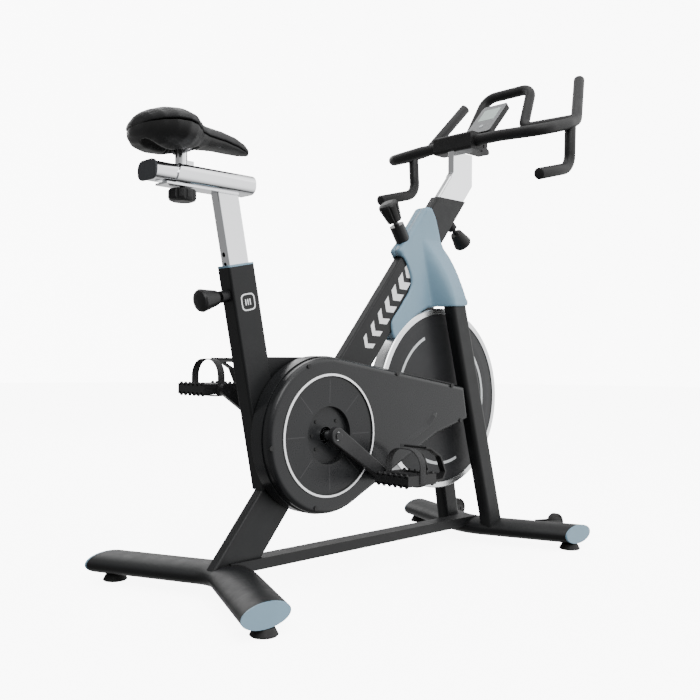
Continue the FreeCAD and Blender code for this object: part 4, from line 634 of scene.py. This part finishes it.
# ------------------------------------------------------------------ toe straps
PED = {"right": (309 + 170 * math.cos(math.radians(33.2)), -157.5, 304.4 - 170 * math.sin(math.radians(33.2))),
       "left": (309 - 170 * math.cos(math.radians(33.2)), 157.5, 304.4 + 170 * math.sin(math.radians(33.2)))}
for side, (px, py, pz) in PED.items():
    # rounded loop round the foot, in the plane across the pedal
    ys, zl, zh, rc = 48.6, -14.8, 62.9, 11.0
    corners = [(ys - rc, zl + rc, -90), (ys - rc, zh - 3.4 * rc, 0), (-ys + rc, zh - 3.4 * rc, 90), (-ys + rc, zl + rc, 180)]
    path = []
    for k, (cy, cz, a0) in enumerate(corners):
        r_ = rc if k in (0, 3) else 3.4 * rc
        if k in (1, 2):
            cy = math.copysign(ys - r_, cy)
        for q in range(9):
            a = math.radians(a0 + 90 * q / 8)
            path.append((cy + r_ * math.cos(a), cz + r_ * math.sin(a)))
    verts, sect = [], [(-9, -1.1), (-8.4, 1.1), (0, 1.25), (8.4, 1.1), (9, -1.1), (0, -1.2)]
    L = len(path)
    for i, (cy, cz) in enumerate(path):
        a, b = path[i - 1], path[(i + 1) % L]
        t = Vector((b[0] - a[0], b[1] - a[1])).normalized()
        nrm = Vector((t.y, -t.x))
        wob = 0.35 * math.sin(i * 1.7)
        for sx, sn in sect:
            verts.append(P(px + sx + wob * 0.4, py + cy + nrm.x * sn, pz + cz + nrm.y * sn))
    S = len(sect)
    faces = [(i * S + j, i * S + (j + 1) % S, ((i + 1) % L) * S + (j + 1) % S, ((i + 1) % L) * S + j) for i in range(L) for j in range(S)]
    st = mesh_ob("strap_band_" + side, verts, faces, "strap")
    bevel = st.modifiers.new("edge", "BEVEL")
    bevel.width = 0.0003
    bevel.segments = 2
    bevel.limit_method = "ANGLE"
    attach(st, side + "_pedal")
    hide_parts("toe_strap_" + side)

# ------------------------------------------------------------------ shroud: moulded shell over beam and fork crown
SH = [(669, 822), (675, 828), (688, 831.5), (695, 830), (705, 817), (713, 803), (724, 772), (733, 745), (746, 724), (756, 702), (763, 668), (767, 640), (772, 612), (771, 597), (762, 593), (740, 591), (716, 590),
      (700, 589.5), (688, 588.5), (663, 577), (631, 559), (602, 536), (578, 515), (568, 511), (562, 520), (557, 543), (566, 560), (582, 578), (600, 600), (616, 620), (625, 640), (622, 661), (613, 680), (601, 697), (588, 708), (584, 718), (592, 728),
      (606, 742), (621, 762), (645, 792)]


def spline_loop(pts, step=4.0):
    out, n_ = [], len(pts)
    for i in range(n_):
        p0, p1, p2, p3 = (Vector(pts[(i + k - 1) % n_]) for k in range(4))
        k_ = max(1, int((p2 - p1).length / step))
        for q in range(k_):
            s = q / k_
            a = p1 * 2 + (p2 - p0) * s + (p0 * 2 - p1 * 5 + p2 * 4 - p3) * s * s + (p1 * 3 - p0 - p2 * 3 + p3) * s ** 3
            out.append(a * 0.5)
    return out


def interp(tab, v):
    if v <= tab[0][0]:
        return tab[0][1]
    for a, b in zip(tab, tab[1:]):
        if v <= b[0]:
            s = (v - a[0]) / (b[0] - a[0])
            return a[1] + (b[1] - a[1]) * s
    return tab[-1][1]


def smooth01(v):
    v = max(0.0, min(1.0, v))
    return v * v * (3 - 2 * v)


def beam_u(x, z):
    return (x - 563) * 0.77384 - (z - 596) * 0.63338


RIDGE_Y = [(580, 72.5), (592, 72), (612, 69), (640, 61.5), (678, 47.5), (710, 33.5), (735, 23.5), (750, 19.5)]
RIDGE_X = [(590, 725), (640, 722), (678, 714), (710, 702), (746, 676)]


def shell_y(x, z, d):
    base_y = 19.0 - 1.5 * smooth01((600 - z) / 80.0)
    xc = 659 + (746 - z) * 0.2436
    t = (x - xc) / max(6.0, interp(RIDGE_X, z) - xc)
    hgt = max(base_y, interp(RIDGE_Y, z))
    y = base_y + (hgt - base_y) * math.sin(math.pi / 2 * max(0.0, min(1.0, t))) ** 1.15
    r = 8.0 if x > 735 or beam_u(x, z) < -46 else 3.5
    if z < 606 and x > 690:
        r = 1.5
    if d < r:
        y -= r * (1 - math.sqrt(max(0.0, 1 - (1 - d / r) ** 2)))
    return y


from mathutils.geometry import delaunay_2d_cdt


def shroud_half(name, sign):
    loop_ = spline_loop(SH)
    n_ = len(loop_)

    def dist(p):
        best = 1e9
        for i in range(n_):
            a, b = loop_[i], loop_[(i + 1) % n_]
            ab = b - a
            s = max(0.0, min(1.0, (p - a).dot(ab) / max(ab.length_squared, 1e-9)))
            best = min(best, (a + ab * s - p).length)
        return best

    def inside(p):
        c_ = False
        for i in range(n_):
            a, b = loop_[i], loop_[(i + 1) % n_]
            if (a.y > p.y) != (b.y > p.y) and p.x < (b.x - a.x) * (p.y - a.y) / (b.y - a.y) + a.x:
                c_ = not c_
        return c_

    pts = list(loop_)
    row = 0
    while 512 + row * 3.8 < 832:
        zz = 512 + row * 3.8
        xx = 556.0 + (1.9 if row % 2 else 0.0)
        while xx < 776:
            p = Vector((xx, zz))
            if inside(p) and dist(p) > 2.4:
                pts.append(p)
            xx += 3.8
        row += 1
    # a ring of points just inside the rim gives it a round edge
    for i in range(n_):
        a, b = loop_[i - 1], loop_[(i + 1) % n_]
        t_ = (b - a).normalized()
        q = loop_[i] + Vector((t_.y, -t_.x)) * 0.9
        if not inside(q):
            q = loop_[i] - Vector((t_.y, -t_.x)) * 0.9
        if inside(q):
            pts.append(q)
    edges_ = [(i, (i + 1) % n_) for i in range(n_)]
    vo, eo, fo, ov, oe, of_ = delaunay_2d_cdt(pts, edges_, [], 1, 1e-4)
    verts, flange = [], {}
    for p in vo:
        verts.append((p.x, -shell_y(p.x, p.y, dist(p)), p.y))
    faces = [tuple(f) for f in fo]
    count = {}
    for f in faces:
        for a, b in zip(f, f[1:] + f[:1]):
            k = tuple(sorted((a, b)))
            count[k] = count.get(k, 0) + 1
    rim = [e for e, k_ in count.items() if k_ == 1]
    for e in rim:
        for v in e:
            if v not in flange:
                x, y, z = verts[v]
                u = beam_u(x, z)
                over = smooth01((46.0 - abs(u)) / 2.5)
                yi = 0.4 + (13.1 - 0.4) * over
                if z < 640 and x > 655 and u > 40:
                    yi = max(yi, 15.5)
                if z < 612 and x > 690:
                    yi = 28.5
                flange[v] = len(verts)
                verts.append((x, -min(-y, yi), z))
    for a, b in rim:
        faces.append((a, b, flange[b], flange[a]))
    vs = [P(x, y * (1 if sign < 0 else -1), z) for x, y, z in verts]
    ob = mesh_ob(name, vs, faces, "pale_plastic")
    sol = ob.modifiers.new("wall", "SOLIDIFY")
    sol.thickness = 0.0012
    sol.offset = -1
    return ob


for side, sg in (("right", -1), ("left", 1)):
    sh = shroud_half("shroud_shell_" + side, sg)
    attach(sh, "frame")
    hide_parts("shroud_" + side)

# ------------------------------------------------------------------ fork crown webs and axle plates
def slab(verts, faces, poly_, y0, y1):
    """Append a flat plate with the given XZ outline between two Y planes."""
    b = len(verts)
    n_ = len(poly_)
    for y in (y0, y1):
        verts.extend(P(x, y, z) for x, z in poly_)
    faces.append(tuple(b + k for k in range(n_)))
    faces.append(tuple(b + n_ + k for k in reversed(range(n_))))
    for k in range(n_):
        k2 = (k + 1) % n_
        faces.append((b + k, b + n_ + k, b + n_ + k2, b + k2))


bv_, bf_ = [], []
for s_ in (-1, 1):
    slab(bv_, bf_, [(650, 622), (672, 690), (716, 742), (728, 728), (738, 690), (748, 648), (752, 604), (708, 602)], 13.0 * s_, 16.6 * s_)
    slab(bv_, bf_, [(708, 603), (706, 640), (707, 668), (722, 668), (740, 640), (752, 606)], 16.6 * s_, 37.0 * s_)
    slab(bv_, bf_, [(712, 352), (722, 342), (796, 331), (796, 403), (722, 392), (712, 382)], 44.0 * s_, 50.0 * s_)
crown_ob = mesh_ob("fork_crown_plates", bv_, bf_, "frame_paint", smooth=False)
crown_bevel = crown_ob.modifiers.new("edge", "BEVEL")
crown_bevel.width = 0.0008
crown_bevel.segments = 2
crown_bevel.limit_method = "ANGLE"
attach(crown_ob, "frame")
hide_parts("fork_brackets")

# raised crease across the belt cover's face
crease_v, crease_f = [], []
route_ = [(524, 268, 0.15), (540, 275, 0.9), (572, 290, 1.0), (600, 303.5, 1.0), (614, 311, 1.0), (627, 321, 1.0), (637, 330.5, 0.9), (643, 340, 0.15)]
for i, (x, z, g_) in enumerate(route_):
    a_, b_ = route_[max(i - 1, 0)], route_[min(i + 1, len(route_) - 1)]
    t_ = Vector((b_[0] - a_[0], b_[1] - a_[1])).normalized()
    nx, nz = -t_.y, t_.x
    for off, hh in ((6.8, 0.02), (5.8, 0.35), (-3.4, 4.9), (-4.8, 4.6), (-6.8, 0.02)):
        crease_v.append(P(x + nx * off, -76.98 - hh * g_, z + nz * off))
for i in range(len(route_) - 1):
    for k in range(4):
        crease_f.append((i * 5 + k, i * 5 + k + 1, (i + 1) * 5 + k + 1, (i + 1) * 5 + k))
crease = mesh_ob("cover_crease", crease_v, crease_f, "cover_plastic", smooth=False)
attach(crease, "frame")

# ------------------------------------------------------------------ gripping teeth on the pedal platforms
for side, sg, ang_ in (("right", -1, -33.2), ("left", 1, 146.8)):
    tx, tz = 309 + 170 * math.cos(math.radians(ang_)), 304.4 + 170 * math.sin(math.radians(ang_))
    tv, tf = [], []
    for dx in (-40.5, 40.5):
        for k in range(6):
            yc_ = sg * (118.0 + k * 15.8)
            for s_ in (-1, 1):
                b_ = len(tv)
                for hx, hy, zz_ in ((3.2, 3.6, 10.6), (1.6, 1.9, 15.0)):
                    for ax_, ay_ in ((-1, -1), (1, -1), (1, 1), (-1, 1)):
                        tv.append(P(tx + dx + ax_ * hx, yc_ + 7.9 * sg * 0.0 + ay_ * hy, tz + s_ * zz_))
                tf.append((b_, b_ + 1, b_ + 2, b_ + 3))
                tf.append((b_ + 7, b_ + 6, b_ + 5, b_ + 4))
                for q_ in range(4):
                    q2 = (q_ + 1) % 4
                    tf.append((b_ + q_, b_ + 4 + q_, b_ + 4 + q2, b_ + q2))
                if s_ > 0:
                    tf[-6:] = [f_[::-1] for f_ in tf[-6:]]
    teeth = mesh_ob("pedal_teeth_" + side, tv, tf, "pedal_plastic", smooth=False)
    tb = teeth.modifiers.new("edge", "BEVEL")
    tb.width = 0.0004
    tb.segments = 2
    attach(teeth, side + "_pedal")

# ------------------------------------------------------------------ camera, light, floor
yaw, pitch, roll = 0.79768, 0.0060002, 0.0063066
F = Vector((math.cos(pitch) * math.cos(yaw), math.cos(pitch) * math.sin(yaw), math.sin(pitch)))
R = Vector((math.sin(yaw), -math.cos(yaw), 0))
U = R.cross(F)
R2 = R * math.cos(roll) + U * math.sin(roll)
U2 = U * math.cos(roll) - R * math.sin(roll)
cam = bpy.data.cameras.new("camera")
cam.lens = 44.69
cam.sensor_width = 36.0
cam_ob = bpy.data.objects.new("camera", cam)
bpy.context.collection.objects.link(cam_ob)
cam_ob.matrix_world = Matrix.Translation(P(-918.49, -1390.86, 470.53)) @ Matrix((R2, U2, -F)).transposed().to_4x4()
bpy.context.scene.camera = cam_ob

floor_mesh = bpy.data.meshes.new("floor")
floor_mesh.from_pydata([(-14, -14, 0), (14, -14, 0), (14, 14, 0), (-14, 14, 0)], [], [(0, 1, 2, 3)])
floor = bpy.data.objects.new("floor", floor_mesh)
bpy.context.collection.objects.link(floor)
fm = Mat("floor_pale")
fm.bsdf.inputs["Base Color"].default_value = (0.90, 0.90, 0.90, 1)
fm.l(fm.remap(fm.noise(3.0, 2.0), 0.3, 0.7, 0.55, 0.62), fm.bsdf.inputs["Roughness"])
fm.bsdf.inputs["Specular IOR Level"].default_value = 0.1
fm.bsdf.inputs["Emission Color"].default_value = (1, 1, 1, 1)
fm.bsdf.inputs["Emission Strength"].default_value = 7.6
floor_mesh.materials.append(fm.m)
floor.visible_glossy = False
floor.visible_diffuse = False

# pale studio wall all round, bright enough to read as white from any side
dome_verts, dome_faces = [], []
for i in range(13):
    for k in range(32):
        e, q = math.pi / 2 * (i / 12.0 * 1.08 - 0.08), 2 * math.pi * k / 32
        dome_verts.append((13 * math.cos(e) * math.cos(q), 13 * math.cos(e) * math.sin(q), 13 * math.sin(e)))
for i in range(12):
    for k in range(32):
        k2 = (k + 1) % 32
        dome_faces.append((i * 32 + k, i * 32 + k2, (i + 1) * 32 + k2, (i + 1) * 32 + k))
dome_mesh = bpy.data.meshes.new("studio_wall")
dome_mesh.from_pydata(dome_verts, [], dome_faces)
dome = bpy.data.objects.new("studio_wall", dome_mesh)
bpy.context.collection.objects.link(dome)
dm = Mat("wall_pale")
dm.bsdf.inputs["Base Color"].default_value = (0.9, 0.9, 0.9, 1)
dm.bsdf.inputs["Specular IOR Level"].default_value = 0.0
dm.bsdf.inputs["Emission Color"].default_value = (1, 1, 1, 1)
dm.bsdf.inputs["Emission Strength"].default_value = 9.0
dome_mesh.materials.append(dm.m)
dome.visible_glossy = False
dome.visible_diffuse = False
dome.visible_transmission = False
dome.visible_shadow = False

world = bpy.data.worlds.new("studio")
bpy.context.scene.world = world
world.use_nodes = True
wt = world.node_tree
wcoord = wt.nodes.new("ShaderNodeTexCoord")


def lobe(axis, lo, hi, gain):
    """Soft bright patch of the studio wall about one direction."""
    d = wt.nodes.new("ShaderNodeVectorMath")
    d.operation = "DOT_PRODUCT"
    wt.links.new(wcoord.outputs["Generated"], d.inputs[0])
    d.inputs[1].default_value = Vector(axis).normalized()
    m = wt.nodes.new("ShaderNodeMapRange")
    m.interpolation_type = "SMOOTHSTEP"
    m.inputs["From Min"].default_value = lo
    m.inputs["From Max"].default_value = hi
    m.inputs["To Min"].default_value = 0.0
    m.inputs["To Max"].default_value = gain
    wt.links.new(d.outputs["Value"], m.inputs["Value"])
    return m.outputs["Result"]


total = None
for axis, lo, hi, gain in (((0.698, 0.716, 0.0), 0.30, 0.90, 0.5), ((0.70, -0.70, 0.15), 0.30, 0.95, 1.7), ((-0.2, -0.3, 1.0), 0.40, 0.95, 1.5)):
    o = lobe(axis, lo, hi, gain)
    if total is None:
        total = o
    else:
        a = wt.nodes.new("ShaderNodeMath")
        a.operation = "ADD"
        wt.links.new(total, a.inputs[0])
        wt.links.new(o, a.inputs[1])
        total = a.outputs[0]
a = wt.nodes.new("ShaderNodeMath")
a.operation = "ADD"
wt.links.new(total, a.inputs[0])
a.inputs[1].default_value = 0.32
world.node_tree.nodes["Background"].inputs[0].default_value = (1.0, 1.0, 1.0, 1)
wt.links.new(a.outputs[0], world.node_tree.nodes["Background"].inputs[1])


def area(name, loc, target, size, power, size_y=None):
    l = bpy.data.lights.new(name, "AREA")
    l.energy = power
    l.size = size
    if size_y:
        l.shape = "RECTANGLE"
        l.size_y = size_y
    ob = bpy.data.objects.new(name, l)
    bpy.context.collection.objects.link(ob)
    ob.location = loc
    ob.rotation_euler = (Vector(target) - Vector(loc)).to_track_quat("-Z", "Y").to_euler()
    return ob


area("key", (-1.6, -2.6, 3.0), (0, 0, 0.5), 2.0, 75)
area("fill", (2.6, -1.8, 1.8), (0, 0, 0.5), 2.2, 10)
area("rim", (0.6, 2.8, 2.4), (0, 0, 0.6), 2.4, 40)
area("top", (0, 0, 3.6), (0, 0, 0), 2.4, 30)
